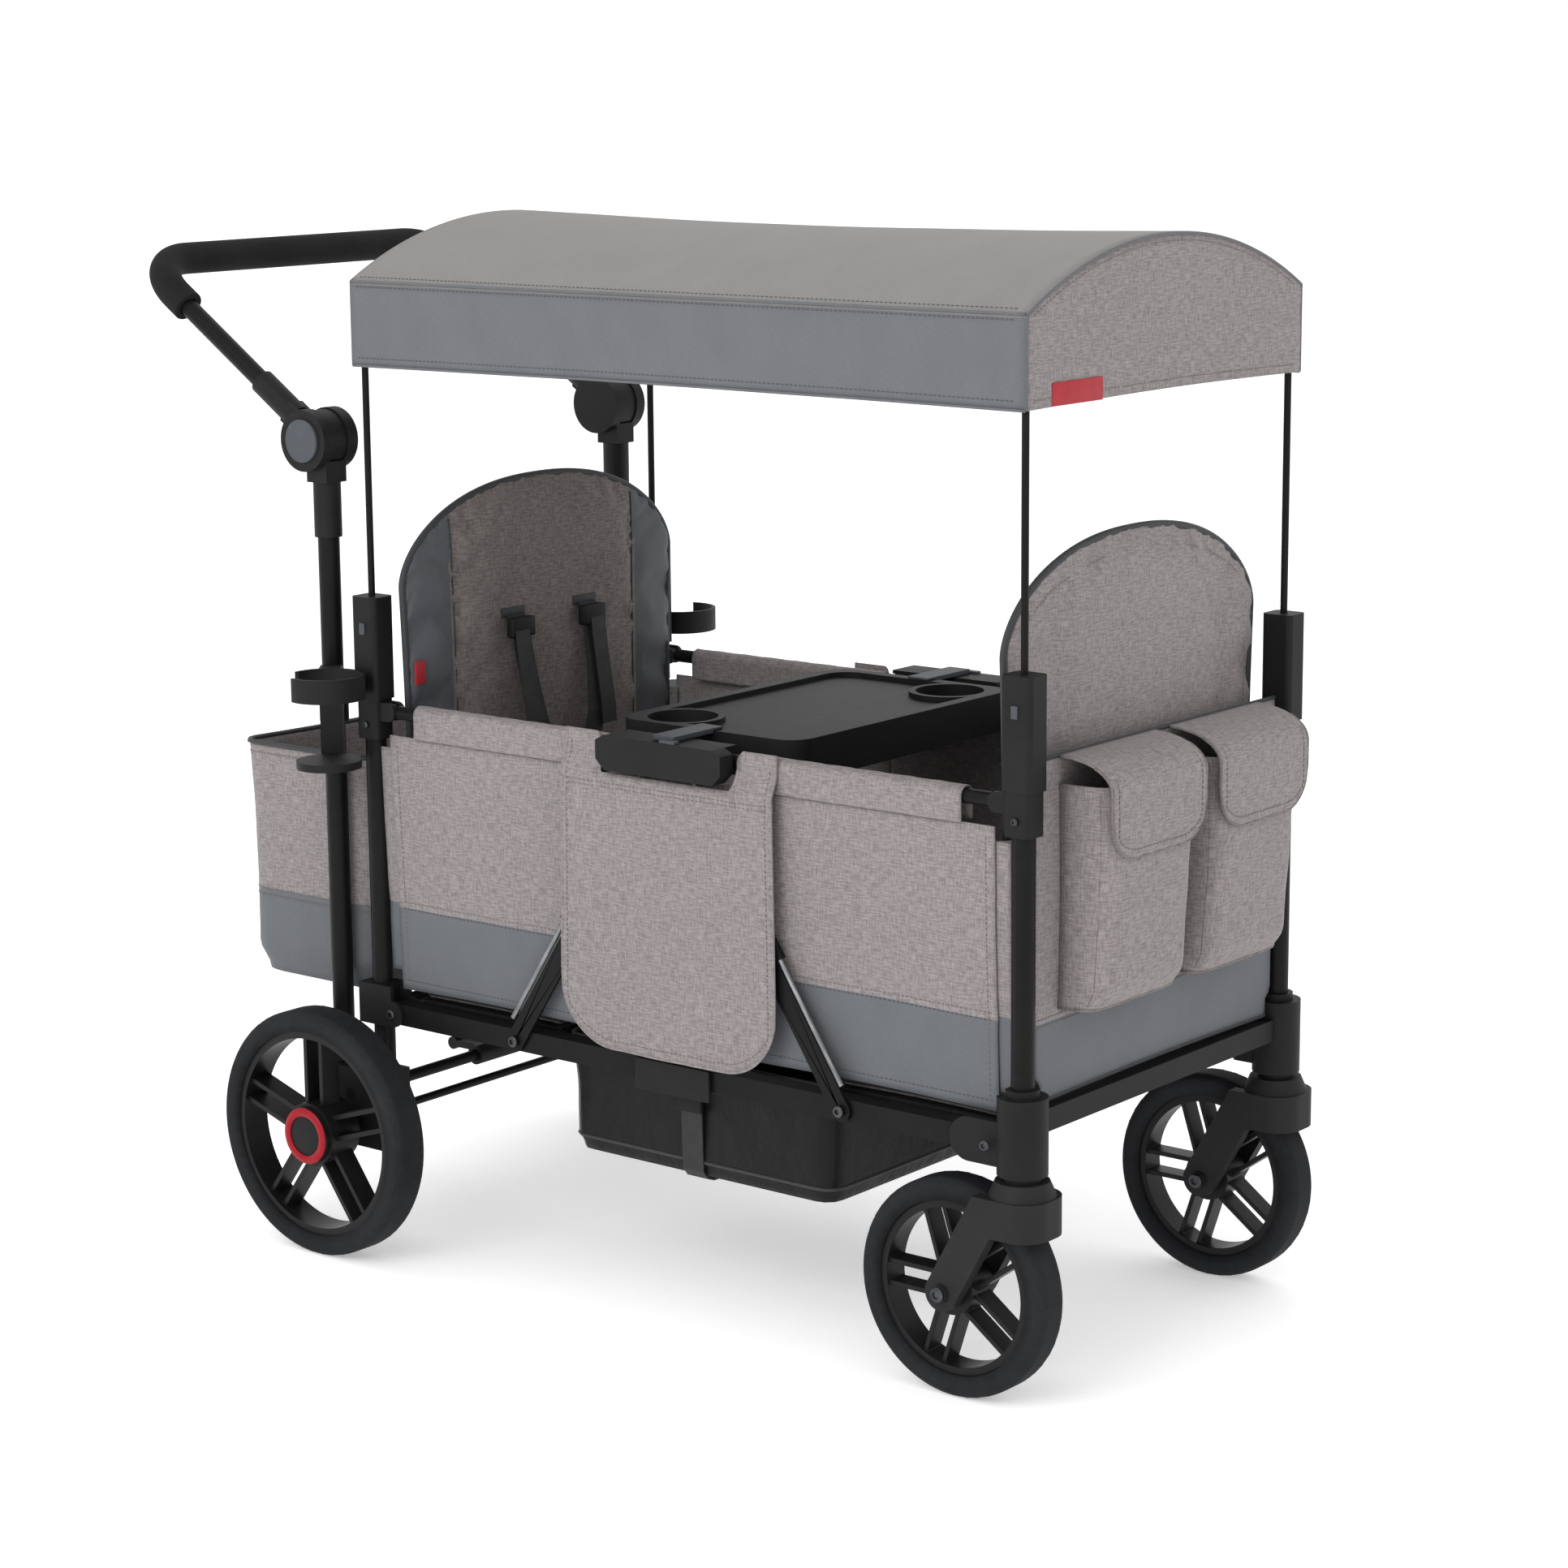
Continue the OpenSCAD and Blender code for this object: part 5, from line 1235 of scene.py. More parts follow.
@dataclass
class Apron(Assembly):
    """The flap that hangs over a strut pair, notched round its lock housing."""

    paint: Paint
    palette: Palette
    side: Side
    half: float = 148.5
    notch: float = 93.0
    low: float = 306.0
    corner: float = 72.0

    def top(self, x: float) -> float:
        """Upper edge, which dips under the lock housing."""
        return lerp(620.5, 664.0, ease(self.notch, self.notch + 8, abs(x)))

    def bottom(self, x: float) -> float:
        """Lower edge with its rounded corners."""
        into = max(0.0, abs(x) - (self.half - self.corner))
        return self.low + self.corner - math.sqrt(max(0.0, self.corner**2 - min(into, self.corner) ** 2))

    def out(self, x: float, z: float) -> float:
        """Distance from the middle plane: tight at the rail, then standing off the struts."""
        lift = 1 - ease(614, 646, z)
        drape = 1.4 * wave(2 + self.side.value, x / 150) * (1 - ease(306, 600, z))
        seam = -0.9 * math.exp(-(((z - 606) / 6) ** 2))
        return lerp(263.0, 273.8, lift) + drape + seam

    def place(self, u: float, v: float) -> Vector:
        """Point of the sheet."""
        s = 2 * u - 1
        x = self.half * math.copysign(abs(s) ** 0.85, s)
        z = lerp(self.bottom(x), self.top(x), v)
        flare = 1 + 0.03 * (1 - v)
        return at(x * flare, self.side.value * self.out(x, z), z)

    def build(self) -> None:
        """Makes the flap with its edge binding and stitch lines."""
        p, s = self.palette, self.side.value
        flap = Shape.cloth(f"apron_{self.side.word}", self.place, 64, 44, 0.0022, flip=s > 0)
        self.put(flap, "centre_lock", p.heather, replaces=("side_aprons",))
        out = Vector((0, s * 0.0013, 0))
        margin = 0.03
        rim = [self.place(margin, v) for v in np.linspace(0.96, 0.03, 40)]
        rim += [self.place(u, 0.03) for u in np.linspace(margin, 1 - margin, 50)]
        rim += [self.place(1 - margin, v) for v in np.linspace(0.03, 0.96, 40)]
        line = Shape.stitches(f"apron_stitch_{self.side.word}", [q + out for q in rim], Vector((0, s, 0)))
        self.put(line, "centre_lock", p.thread)
        for k, z in enumerate((604.0, 609.0)):
            path = [
                at(x, s * (self.out(x, z) + 1.25), z)
                for x in np.linspace(-self.half + 6, self.half - 6, 60)
            ]
            line = Shape.stitches(f"apron_seam_{self.side.word}_{k}", path, Vector((0, s, 0)))
            self.put(line, "centre_lock", p.thread)
        edge = [self.place(0.0, v) for v in np.linspace(1, 0.05, 30)]
        edge += [self.place(u, 0.0) for u in np.linspace(0.004, 0.996, 70)]
        edge += [self.place(1.0, v) for v in np.linspace(0.05, 1, 30)]
        self.put(Shape.tube(f"apron_edge_{self.side.word}", edge, 0.0017, 8), "centre_lock", p.heather)


def rounded_ring(half_x: float, half_y: float, radius: float, count: int) -> list[tuple[float, float]]:
    """Evenly spread points round a rectangle with rounded corners."""
    radius = min(radius, half_x * 0.95, half_y * 0.95)
    corners = [(half_x - radius, half_y - radius, 0), (radius - half_x, half_y - radius, 90)]
    corners += [(radius - half_x, radius - half_y, 180), (half_x - radius, radius - half_y, 270)]
    path = [Vector((*q, 0)) for x, y, a in corners for q in arc_points((x, y), radius, a, a + 90, 8)]
    path.append(path[0].copy())
    total = sum((b - a).length for a, b in zip(path, path[1:]))
    even = resample(path, total / count * 0.99999)[:count]
    return [(q.x, q.y) for q in even]


class Bags(Assembly):
    """Shared maker of open bags."""

    def bag(
        self, name: str, rings: Sequence[Sequence[Vector]], thick: float
    ) -> bpy.types.Object:
        """An open bag lofted through closed rings, from the middle of its floor to its mouth.

        Args:
            name: Name of the piece.
            rings: Closed loops of equal length; the first shrinks to the middle of the floor.
            thick: Thickness of the cloth in metres.

        Returns:
            The piece, with material 0 outside and 1 inside.
        """
        count = len(rings[0])
        rows = len(rings)
        outer = [Vector(q) for ring in rings for q in ring]
        normals = []
        for r in range(rows):
            for c in range(count):
                du = rings[r][(c + 1) % count] - rings[r][c - 1]
                dv = rings[min(r + 1, rows - 1)][c] - rings[max(r - 1, 0)][c]
                normal = du.cross(dv)
                normals.append(normal.normalized() if normal.length > 1e-12 else Vector((0, 0, -1)))
        inner = [q - n * thick for q, n in zip(outer, normals)]
        size = len(outer)
        walls = Shape.bands(rows, count, True)
        faces = walls + [tuple(size + i for i in reversed(f)) for f in walls]
        faces += [tuple(reversed(range(count))), tuple(size + k for k in range(count))]
        top = (rows - 1) * count
        faces += [
            (top + k, top + (k + 1) % count, size + top + (k + 1) % count, size + top + k)
            for k in range(count)
        ]
        obj = Shape.mesh(name, outer + inner, faces)
        for k, face in enumerate(obj.data.polygons):
            face.material_index = 1 if len(walls) <= k < 2 * len(walls) else 0
        return obj


@dataclass
class Basket(Bags):
    """The rear basket: a sewn bag that bellies out, with a bound mouth."""

    paint: Paint
    palette: Palette
    front: float = -486.5
    back: float = -700.0
    half_y: float = 241.0
    low: float = 291.0
    top: float = 584.0
    seam: float = 400.0

    def ring(self, level: float) -> list[Vector]:
        """One loop of the bag, where level 0 to 1 is the floor and 1 to 2 the wall."""
        mid_x, half_x = (self.front + self.back) / 2, (self.front - self.back) / 2
        if level < 1:
            share = ease(0, 1, level) * 0.97 + 0.03
            z = self.low + 10 * level**4
            loop = rounded_ring(half_x - 9, self.half_y - 9, 26, 120)
            return [at(mid_x + x * share, y * share, z - 2.0 * (1 - share)) for x, y in loop]
        v = level - 1
        z = lerp(self.low + 10, self.top, v)
        draw = 9 * (1 - ease(0, 0.12, v)) + 2.5 * math.sin(math.pi * v)
        loop = []
        for x, y in rounded_ring(half_x - draw, self.half_y - draw, 30 - 8 * v, 120):
            rear = ease(0, half_x, -x)
            dip = 5.0 * ease(0.7, 1.0, v) * rear * math.cos(y / self.half_y * math.pi / 2)
            crease = 1.3 * wave(6, y / 210, v * 1.6) * math.sin(math.pi * v) * rear
            loop.append(at(mid_x + x + crease, y, z - dip))
        return loop

    def build(self) -> None:
        """Makes the bag, its seam, binding and hanging loops."""
        p = self.palette
        levels = list(np.linspace(0.0, 1.0, 9)[:-1]) + list(np.linspace(1.0, 2.0, 34))
        rings = [self.ring(k) for k in levels]
        bag = self.bag("basket_bag", rings, 0.0022)
        self.paint.coat(bag, p.heather, p.mesh_black, p.satin)
        for face in bag.data.polygons:
            if face.material_index == 0 and face.center.z < self.seam * MM:
                face.material_index = 2
        self.put(bag, "rear_frame", replaces=("rear_basket",))
        mouth = self.ring(2.0)
        self.put(Shape.tube("basket_binding", mouth, 0.0032, 8, closed=True), "rear_frame", p.piping_dark)
        for k, z in enumerate((self.seam + 4, self.seam - 4, self.top - 12)):
            loop = self.ring(1 + (z - self.low - 10) / (self.top - self.low - 10))
            centre = sum(loop, Vector()) / len(loop)
            loop = [q + (q - centre).normalized() * 0.001 for q in loop]
            normals = [Vector(((q - centre).x, (q - centre).y, 0)).normalized() for q in loop]
            self.put(Shape.stitches(f"basket_stitch_{k}", loop + loop[:1], normals), "rear_frame", p.thread)
        for side in Side:
            y = side.value * 205
            path = [at(-488, y, 560), at(-484, y, 585), at(-479, y, 592), at(-474.2, y, 586)]
            strap = Shape.ribbon(f"basket_loop_{side.word}", path, [Vector((0, 1, 0))] * 4, 0.025, 0.0016)
            self.put(strap, "rear_frame", p.webbing)


@dataclass
class Footwell(Bags):
    """The nylon tub between the seats, with sloping ends and a strap round its middle."""

    paint: Paint
    palette: Palette
    half_top: float = 196.0
    half_low: float = 190.0
    half_y: float = 224.0
    low: float = 156.0
    top: float = 295.5
    strap_x: float = -6.0

    def ring(self, level: float) -> list[Vector]:
        """One loop of the tub, where level 0 to 1 is the floor and 1 to 2 the wall."""
        if level < 1:
            share = 0.03 + 0.97 * ease(0, 1, level)
            loop = rounded_ring(self.half_low - 5, self.half_y - 5, 22, 128)
            return [at(x * share, y * share, self.low + 5 * level**4 - 2.5 * (1 - share)) for x, y in loop]
        v = level - 1
        z = lerp(self.low + 5, self.top, v)
        half = lerp(self.half_low, self.half_top, v) - 5 * (1 - ease(0, 0.15, v))
        loop = []
        for x, y in rounded_ring(half, self.half_y - 5 * (1 - ease(0, 0.15, v)), 20, 128):
            slack = math.sin(math.pi * v)
            fold = 2.6 * wave(8, x / 120 + y / 160, v * 1.2) * slack + 2.4 * wave(11, x / 38, y / 42) * slack
            loop.append(at(x * (1 - abs(fold) / 900), y * (1 - (3 + abs(fold)) * slack / 400), z))
        return loop

    def build(self) -> None:
        """Makes the tub, its binding and its webbing."""
        p = self.palette
        levels = list(np.linspace(0.0, 1.0, 9)[:-1]) + list(np.linspace(1.0, 2.0, 22))
        tub = self.bag("footwell_tub", [self.ring(k) for k in levels], 0.002)
        pieces = [self.put(tub, "floor_centre", p.nylon, p.mesh_black, replaces=("footwell",))]
        rim = Shape.tube("footwell_binding", self.ring(2.0), 0.0026, 8, closed=True)
        pieces.append(self.put(rim, "floor_centre", p.piping_dark))
        edge = Shape.tube("footwell_piping", self.ring(1.12), 0.002, 8, closed=True)
        pieces.append(self.put(edge, "floor_centre", p.piping_dark))
        half = [(227.5, 275), (225.5, 200), (224.5, 166), (214, 154), (120, 152.2)]
        loop = [(-y, z) for y, z in half] + [(0, 152.0)] + half[::-1]
        path = resample([at(self.strap_x, y, z) for y, z in loop], 0.012)
        strap = Shape.ribbon("footwell_strap", path, [Vector((1, 0, 0))] * len(path), 0.030, 0.0022)
        pieces.append(self.put(strap, "floor_centre", p.webbing))
        for side in Side:
            near, far = sorted((side.value * 226, side.value * 233))
            low, high = at(self.strap_x - 18, near, 236), at(self.strap_x + 18, far, 262)
            box = Shape.block(f"footwell_buckle_{side.word}", low, high, 0.002)
            pieces.append(self.put(box, "floor_centre", p.plastic))
        for piece in pieces:
            at(0, 0, 0)
            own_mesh(piece)


@dataclass
class SeatBack(Assembly):
    """A padded seat back: crowned, seamed beside its middle panel, piped round the rim."""

    paint: Paint
    palette: Palette
    end: End
    x: float = 426.2
    half_w: float = 236.5
    low: float = 381.0
    shoulder: float = 792.0
    crown: float = 902.0
    channel: float = 162.0
    thick: float = 24.0
    slot_y: float = 65.0
    slot_z: float = 742.0
    tab_y: float = -227.0
    tab_z: float = 692.0

    def top(self, y: float) -> float:
        """Upper edge across the seat."""
        share = min(1.0, abs(y) / self.half_w)
        return self.shoulder + (self.crown - self.shoulder) * max(0.0, 1 - share**2.3) ** 0.58

    def rim(self, u: float, v: float) -> tuple[float, float]:
        """Place of a grid point in the seat's plane."""
        y = self.half_w * (2 * u - 1)
        z = lerp(self.low, self.top(y), v)
        return y * (1 - 0.025 * math.sin(math.pi * v)), z

    def swell(self, u: float, v: float) -> float:
        """Half thickness of the padding."""
        y = self.half_w * (2 * u - 1)
        edge = (max(0.0, 1 - abs(2 * u - 1) ** 4.5) * max(0.0, 1 - abs(2 * v - 1) ** 5)) ** 0.5
        groove = 1 - 0.42 * math.exp(-(((abs(y) - self.channel) / 9) ** 2))
        quilt = 0.6 * wave(5 * self.end.value, y / 170, v * 2.1) * edge
        return 2.4 + (self.thick / 2 - 2.4) * edge * groove + quilt

    def point(self, u: float, v: float, face: int) -> Vector:
        """Point of the seating face (1) or the outer face (-1)."""
        y, z = self.rim(u, v)
        return at(self.end.value * (self.x - face * self.swell(u, v)), y, z)

    def sewn(self, u: float, v: float, face: int) -> float:
        """How firmly the cover is held at a grid point: rim, seams and strap slots."""
        if min(u, v) == 0 or max(u, v) == 1:
            return 1.0
        y, z = self.rim(self.gather(u), self.gather(v))
        hold = math.exp(-(((abs(y) - self.channel) / 6) ** 2))
        away = math.hypot(abs(y) - self.slot_y, z - self.slot_z)
        slot = math.exp(-(away / 22) ** 2) if face > 0 else 0.0
        return min(1.0, max(hold, slot))

    @staticmethod
    def gather(share: float) -> float:
        """Spreads grid lines closer together near the rim."""
        return (1 - math.cos(math.pi * share)) / 2

    def build(self) -> None:
        """Makes the pad, its piping, seams, slots and harness."""
        p, e = self.palette, self.end
        body, name = f"{e.word}_frame", f"seat_back_{e.word}"
        nu, nv = 72, 64
        points = [
            self.point(self.gather(c / nu), self.gather(r / nv), face)
            for face in (1, -1) for r in range(nv + 1) for c in range(nu + 1)
        ]
        pad = Shape.mesh(name, points, Shape.pillow(nu, nv)[0])
        Shape.outward(pad)
        sewn = [
            self.sewn(c / nu, r / nv, face) for face in (1, -1) for r in range(nv + 1)
            for c in range(nu + 1)
        ]
        Shape.puff(pad, sewn, 1.2, 0.006)
        self.paint.coat(pad, p.heather, p.satin_dark, p.heather_shade)
        inward = -e.value
        # Painted shade: the middle panel of the seating face takes the darker copy of the melange, its sides
        # the dark satin.
        for face in pad.data.polygons:
            if face.normal.x * inward > 0.05:
                face.material_index = 1 if abs(face.center.y) > self.channel * MM else 2
        self.put(pad, body, replaces=(f"{e.word}_seat_back",))
        steps = np.linspace(0, 1, 60)
        path = [self.rim_at(0.0, v) for v in steps] + [self.rim_at(self.gather(u), 1.0) for u in steps[1:]]
        path += [self.rim_at(1.0, v) for v in steps[::-1][1:]]
        path += [self.rim_at(u, 0.0) for u in steps[::-1][1:-1]]
        self.put(Shape.tube(f"{name}_piping", path, 0.0042, 10, closed=True), body, p.piping_dark)
        for side in Side:
            u = 0.5 + side.value * self.channel / self.half_w / 2
            rise = np.linspace(0.02, 0.985, 60)
            seam = [self.point(u, v, 1) + Vector((inward * 0.0004, 0, 0)) for v in rise]
            self.put(Shape.tube(f"{name}_seam_{side.word}", seam, 0.0011, 6), body, p.piping_dark)
            u = 0.5 + side.value * (self.channel - 7) / self.half_w / 2
            line = [self.point(u, v, 1) + Vector((inward * 0.0007, 0, 0)) for v in rise]
            stitches = Shape.stitches(f"{name}_stitch_{side.word}", line, Vector((inward, 0, 0)))
            self.put(stitches, body, p.thread)
        outline = [self.point(0.045, v, -1) for v in np.linspace(0.05, 0.93, 50)]
        outline += [self.point(u, 0.96, -1) for u in np.linspace(0.06, 0.94, 60)]
        outline += [self.point(0.955, v, -1) for v in np.linspace(0.93, 0.05, 50)]
        outline = [q - Vector((inward * 0.0007, 0, 0)) for q in outline]
        self.put(Shape.stitches(f"{name}_outline", outline, Vector((-inward, 0, 0))), body, p.thread)
        Harness(self.paint, p, self).build()
        if e is End.REAR:
            u = 0.5 + self.tab_y / self.half_w / 2
            spot = self.point(u, (self.tab_z - self.low) / (self.top(self.tab_y) - self.low), 1)
            spot += Vector((0.0055, 0, 0))
            reach = Vector((0.0012, 0.008, 0.0135))
            self.put(Shape.block(f"{name}_tab", spot - reach, spot + reach, 0.0004, 2), body, p.red)

    def rim_at(self, u: float, v: float) -> Vector:
        """Point of the rim seam."""
        y, z = self.rim(u, v)
        return at(self.end.value * self.x, y, z)


@dataclass
class Harness(Assembly):
    """Five-point webbing on a seat back: straps with sliders, and a buckle."""

    paint: Paint
    palette: Palette
    seat: SeatBack
    buckle_z: float = 535.0
    buckle_lift: float = 27.0
    fold_keep: float = 0.08

    def face(self, y: float, z: float, lift: float) -> Vector:
        """Point over the seating face."""
        u = 0.5 + y / self.seat.half_w / 2
        v = min(1.0, max(0.0, (z - self.seat.low) / (self.seat.top(y) - self.seat.low)))
        return self.seat.point(u, v, 1) + Vector((-self.seat.end.value * lift * MM, 0, 0))

    def strap(
        self, name: str, route: Sequence[Point], across: Point, width: float, thick: float,
        folds: bool = False,
    ) -> None:
        """Webbing over the seating face.

        Args:
            name: Name of the strap.
            route: Places as distance from the middle, height and lift off the seat, in millimetres.
            across: Direction of its width.
            width: Width in metres.
            thick: Thickness in metres.
            folds: Whether the strap gets a mesh of its own.
        """
        path = resample([self.face(*q) for q in route], 0.01)
        ribbon = Shape.ribbon(name, path, [Vector(across)] * len(path), width, thick)
        self.put(ribbon, f"{self.seat.end.word}_frame", self.palette.webbing)
        if folds:
            self.face(0, 420, 0.5)
            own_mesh(ribbon)

    def block(
        self, name: str, spot: Vector, half: Point, radius: float, finish: Finish, cells: int = 3
    ) -> None:
        """A rounded fitting about a point."""
        reach = Vector(half)
        box = Shape.block(name, spot - reach, spot + reach, radius, cells)
        self.put(box, f"{self.seat.end.word}_frame", finish)

    def build(self) -> None:
        """Makes the webbing and its fittings."""
        p, e = self.palette, self.seat.end
        name = f"harness_{e.word}"
        level, upright = (0, 1, 0), (0, 0, 1)
        slot_y, slot_z = self.seat.slot_y, self.seat.slot_z
        shoulder = [(slot_y, slot_z, 0.5), (slot_y, 739, 8), (slot_y, 728, 13), (slot_y - 1, 700, 16)]
        shoulder += [(slot_y - 4, 660, 23), (slot_y - 12, 610, 30), (slot_y - 24, 580, 31), (28, 556, 28)]
        tail = [(slot_y + 4, z, k) for z, k in ((724, 19), (700, 22), (660, 28), (620, 35), (590, 37))]
        waist = [(176, 404, 1), (150, 424, 8), (90, 485, 18), (28, 528, 26)]
        crotch = [(0, 386, 3), (0, 420, 10), (0, 470, 19), (0, 520, 26)]
        for side in Side:
            s, w = side.value, side.word
            self.strap(f"{name}_shoulder_{w}", [(s * y, z, k) for y, z, k in shoulder], level, 0.030, 0.0024)
            self.strap(f"{name}_tail_{w}", [(s * y, z, k) for y, z, k in tail], level, 0.024, 0.002)
            slider = self.face(s * slot_y, 727, 14)
            self.block(f"{name}_slider_{w}", slider, (0.006, 0.020, 0.012), 0.003, p.plastic)
            slot = self.face(s * slot_y, slot_z + 2, 0.2)
            self.block(f"{name}_slot_{w}", slot, (0.0016, 0.021, 0.006), 0.0014, p.piping_dark)
            route = [(s * y, z, k) for y, z, k in waist]
            self.strap(f"{name}_waist_{w}", route, upright, 0.030, 0.0022, folds=True)
        self.strap(f"{name}_crotch", crotch, level, 0.034, 0.0024, folds=True)
        centre = self.face(0, self.buckle_z, self.buckle_lift)
        self.block(f"{name}_buckle", centre, (0.008, 0.032, 0.026), 0.006, p.plastic, 4)
        spot = centre + Vector((-e.value * 0.0085, 0, 0))
        dome = [(0.011, -0.001), (0.011, 0.0015), (0.009, 0.0025)]
        release = Shape.lathe(f"{name}_release", dome, spot, (-e.value, 0, 0), 32)
        self.put(release, f"{e.word}_frame", p.cap)


@dataclass
class SeatPad(Assembly):
    """A seat cushion on its floor board: flat below, crowned above, with cross channels and a piped edge."""

    paint: Paint
    palette: Palette
    end: End
    near: float = 207.0
    far: float = 413.0
    half_y: float = 221.0
    low: float = 302.8
    thick: float = 29.0
    channel_share: float = 0.34

    def seam(self, v: float) -> float:
        """Pull of the two cross seams, 1 in the seam and 0 away from it."""
        return math.exp(-(((abs(2 * v - 1) - self.channel_share) / 0.03) ** 2))

    def point(self, u: float, v: float, face: int) -> Vector:
        """Point of the upper (1) or lower (0) face."""
        x = lerp(self.near, self.far, u)
        y = self.half_y * (2 * v - 1) * (1 - 0.02 * math.sin(math.pi * u))
        x -= 4.0 * math.sin(math.pi * v) * (u - 0.5)
        edge = (max(0.0, 1 - abs(2 * u - 1) ** 4) * max(0.0, 1 - abs(2 * v - 1) ** 6)) ** 0.5
        channel = 1 - 0.3 * self.seam(v)
        rise = 6 + (self.thick - 6) * edge * channel + 0.6 * edge * wave(4, u * 1.3, v * 2)
        return at(self.end.value * x, y, self.low + face * rise)

    def build(self) -> None:
        """Makes the cushion and its piping."""
        p, e = self.palette, self.end
        nu, nv = 36, 56
        grid = [
            [(SeatBack.gather(c / nu), SeatBack.gather(r / nv)) for c in range(nu + 1)]
            for r in range(nv + 1)
        ]
        points = [self.point(u, v, face) for face in (1, 0) for row in grid for u, v in row]
        faces, ring = Shape.pillow(nu, nv)
        pad = Shape.mesh(f"seat_pad_{e.word}", points, faces)
        Shape.outward(pad)
        seams = [self.seam(v) for row in grid for _, v in row]
        sewn = [1.0 if i in ring else hold for i, hold in enumerate(seams)] + [1.0] * len(seams)
        Shape.puff(pad, sewn, 1.2, 0.005)
        body = f"lower_{e.word}"
        self.put(pad, body, p.heather, replaces=(f"{e.word}_seat_pad",))
        path = [self.point(*grid[i // (nu + 1)][i % (nu + 1)], 1) for i in ring]
        path = [q + Vector((0, 0, -0.0008)) for q in path]
        piping = Shape.tube(f"seat_pad_piping_{e.word}", path, 0.003, 8, closed=True)
        self.put(piping, body, p.piping_dark)
        for piece in (pad, piping):
            at(0, 0, self.low)
            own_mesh(piece)


@dataclass
class FrontPanel(Assembly):
    """The cloth across the front posts and its two flapped pockets."""

    paint: Paint
    palette: Palette
    x: float = 462.1
    half_y: float = 232.0
    foot_half_y: float = 222.0
    low: float = 326.0
    top: float = 689.0
    seam: float = 411.0

    def sheet_at(self, u: float, v: float) -> Vector:
        """Point of the panel, slack between its seams."""
        z = lerp(self.low, self.top, v)
        half = lerp(self.foot_half_y, self.half_y, ease(345, 356, z))
        y = lerp(-half, half, u)
        low = math.sin(math.pi * min(1.0, v * 3.6)) * math.sin(math.pi * u)
        return at(
            self.x + 2.2 * low * (1 + 0.5 * wave(9, u * 2.2)), y,
            z + 2.5 * (1 - v) ** 4 * math.sin(math.pi * u)
        )

    def build(self) -> None:
        """Makes the panel, its seam and both pockets."""
        p = self.palette
        panel = Shape.cloth("front_sheet", self.sheet_at, 60, 56, 0.0024)
        self.split_at(panel, self.seam * MM, p.heather, p.satin)
        self.put(panel, "front_frame", replaces=("front_panel",))
        v = (self.seam - self.low) / (self.top - self.low)
        lift = Vector((0.0016, 0, 0))
        for k, step in enumerate((-0.011, 0.011)):
            line = [self.sheet_at(u, v + step) + lift for u in np.linspace(0.01, 0.99, 80)]
            self.put(Shape.stitches(f"front_stitch_{k}", line, Vector((1, 0, 0))), "front_frame", p.thread)
        for name, level in (("low", 0.0), ("top", 1.0)):
            edge = [self.sheet_at(u, level) for u in np.linspace(0, 1, 60)]
            self.put(Shape.tube(f"front_edge_{name}", edge, 0.0026, 8), "front_frame", p.piping_dark)
        for side in Side:
            self.wing(side)
            Pocket(self.paint, p, side).build()

    def wing(self, side: Side) -> None:
        """The strip that turns from the panel's edge round the inside of a post to the side wall."""

        def place(u: float, v: float) -> Vector:
            z = lerp(350.0, 606.0, v)
            y = lerp(self.half_y - 0.5, lerp(243.0, 252.0, v), u**1.6)
            y += 0.6 * wave(12, v * 3.0) * u * (1 - u)
            return at(lerp(self.x - 0.6, 433.5, u), side.value * y, z)

        wing = Shape.cloth(f"front_wing_{side.word}", place, 10, 40, 0.002, flip=side is Side.LEFT)
        self.split_at(wing, (self.seam + 4) * MM, self.palette.heather, self.palette.satin)
        self.put(wing, "front_frame")


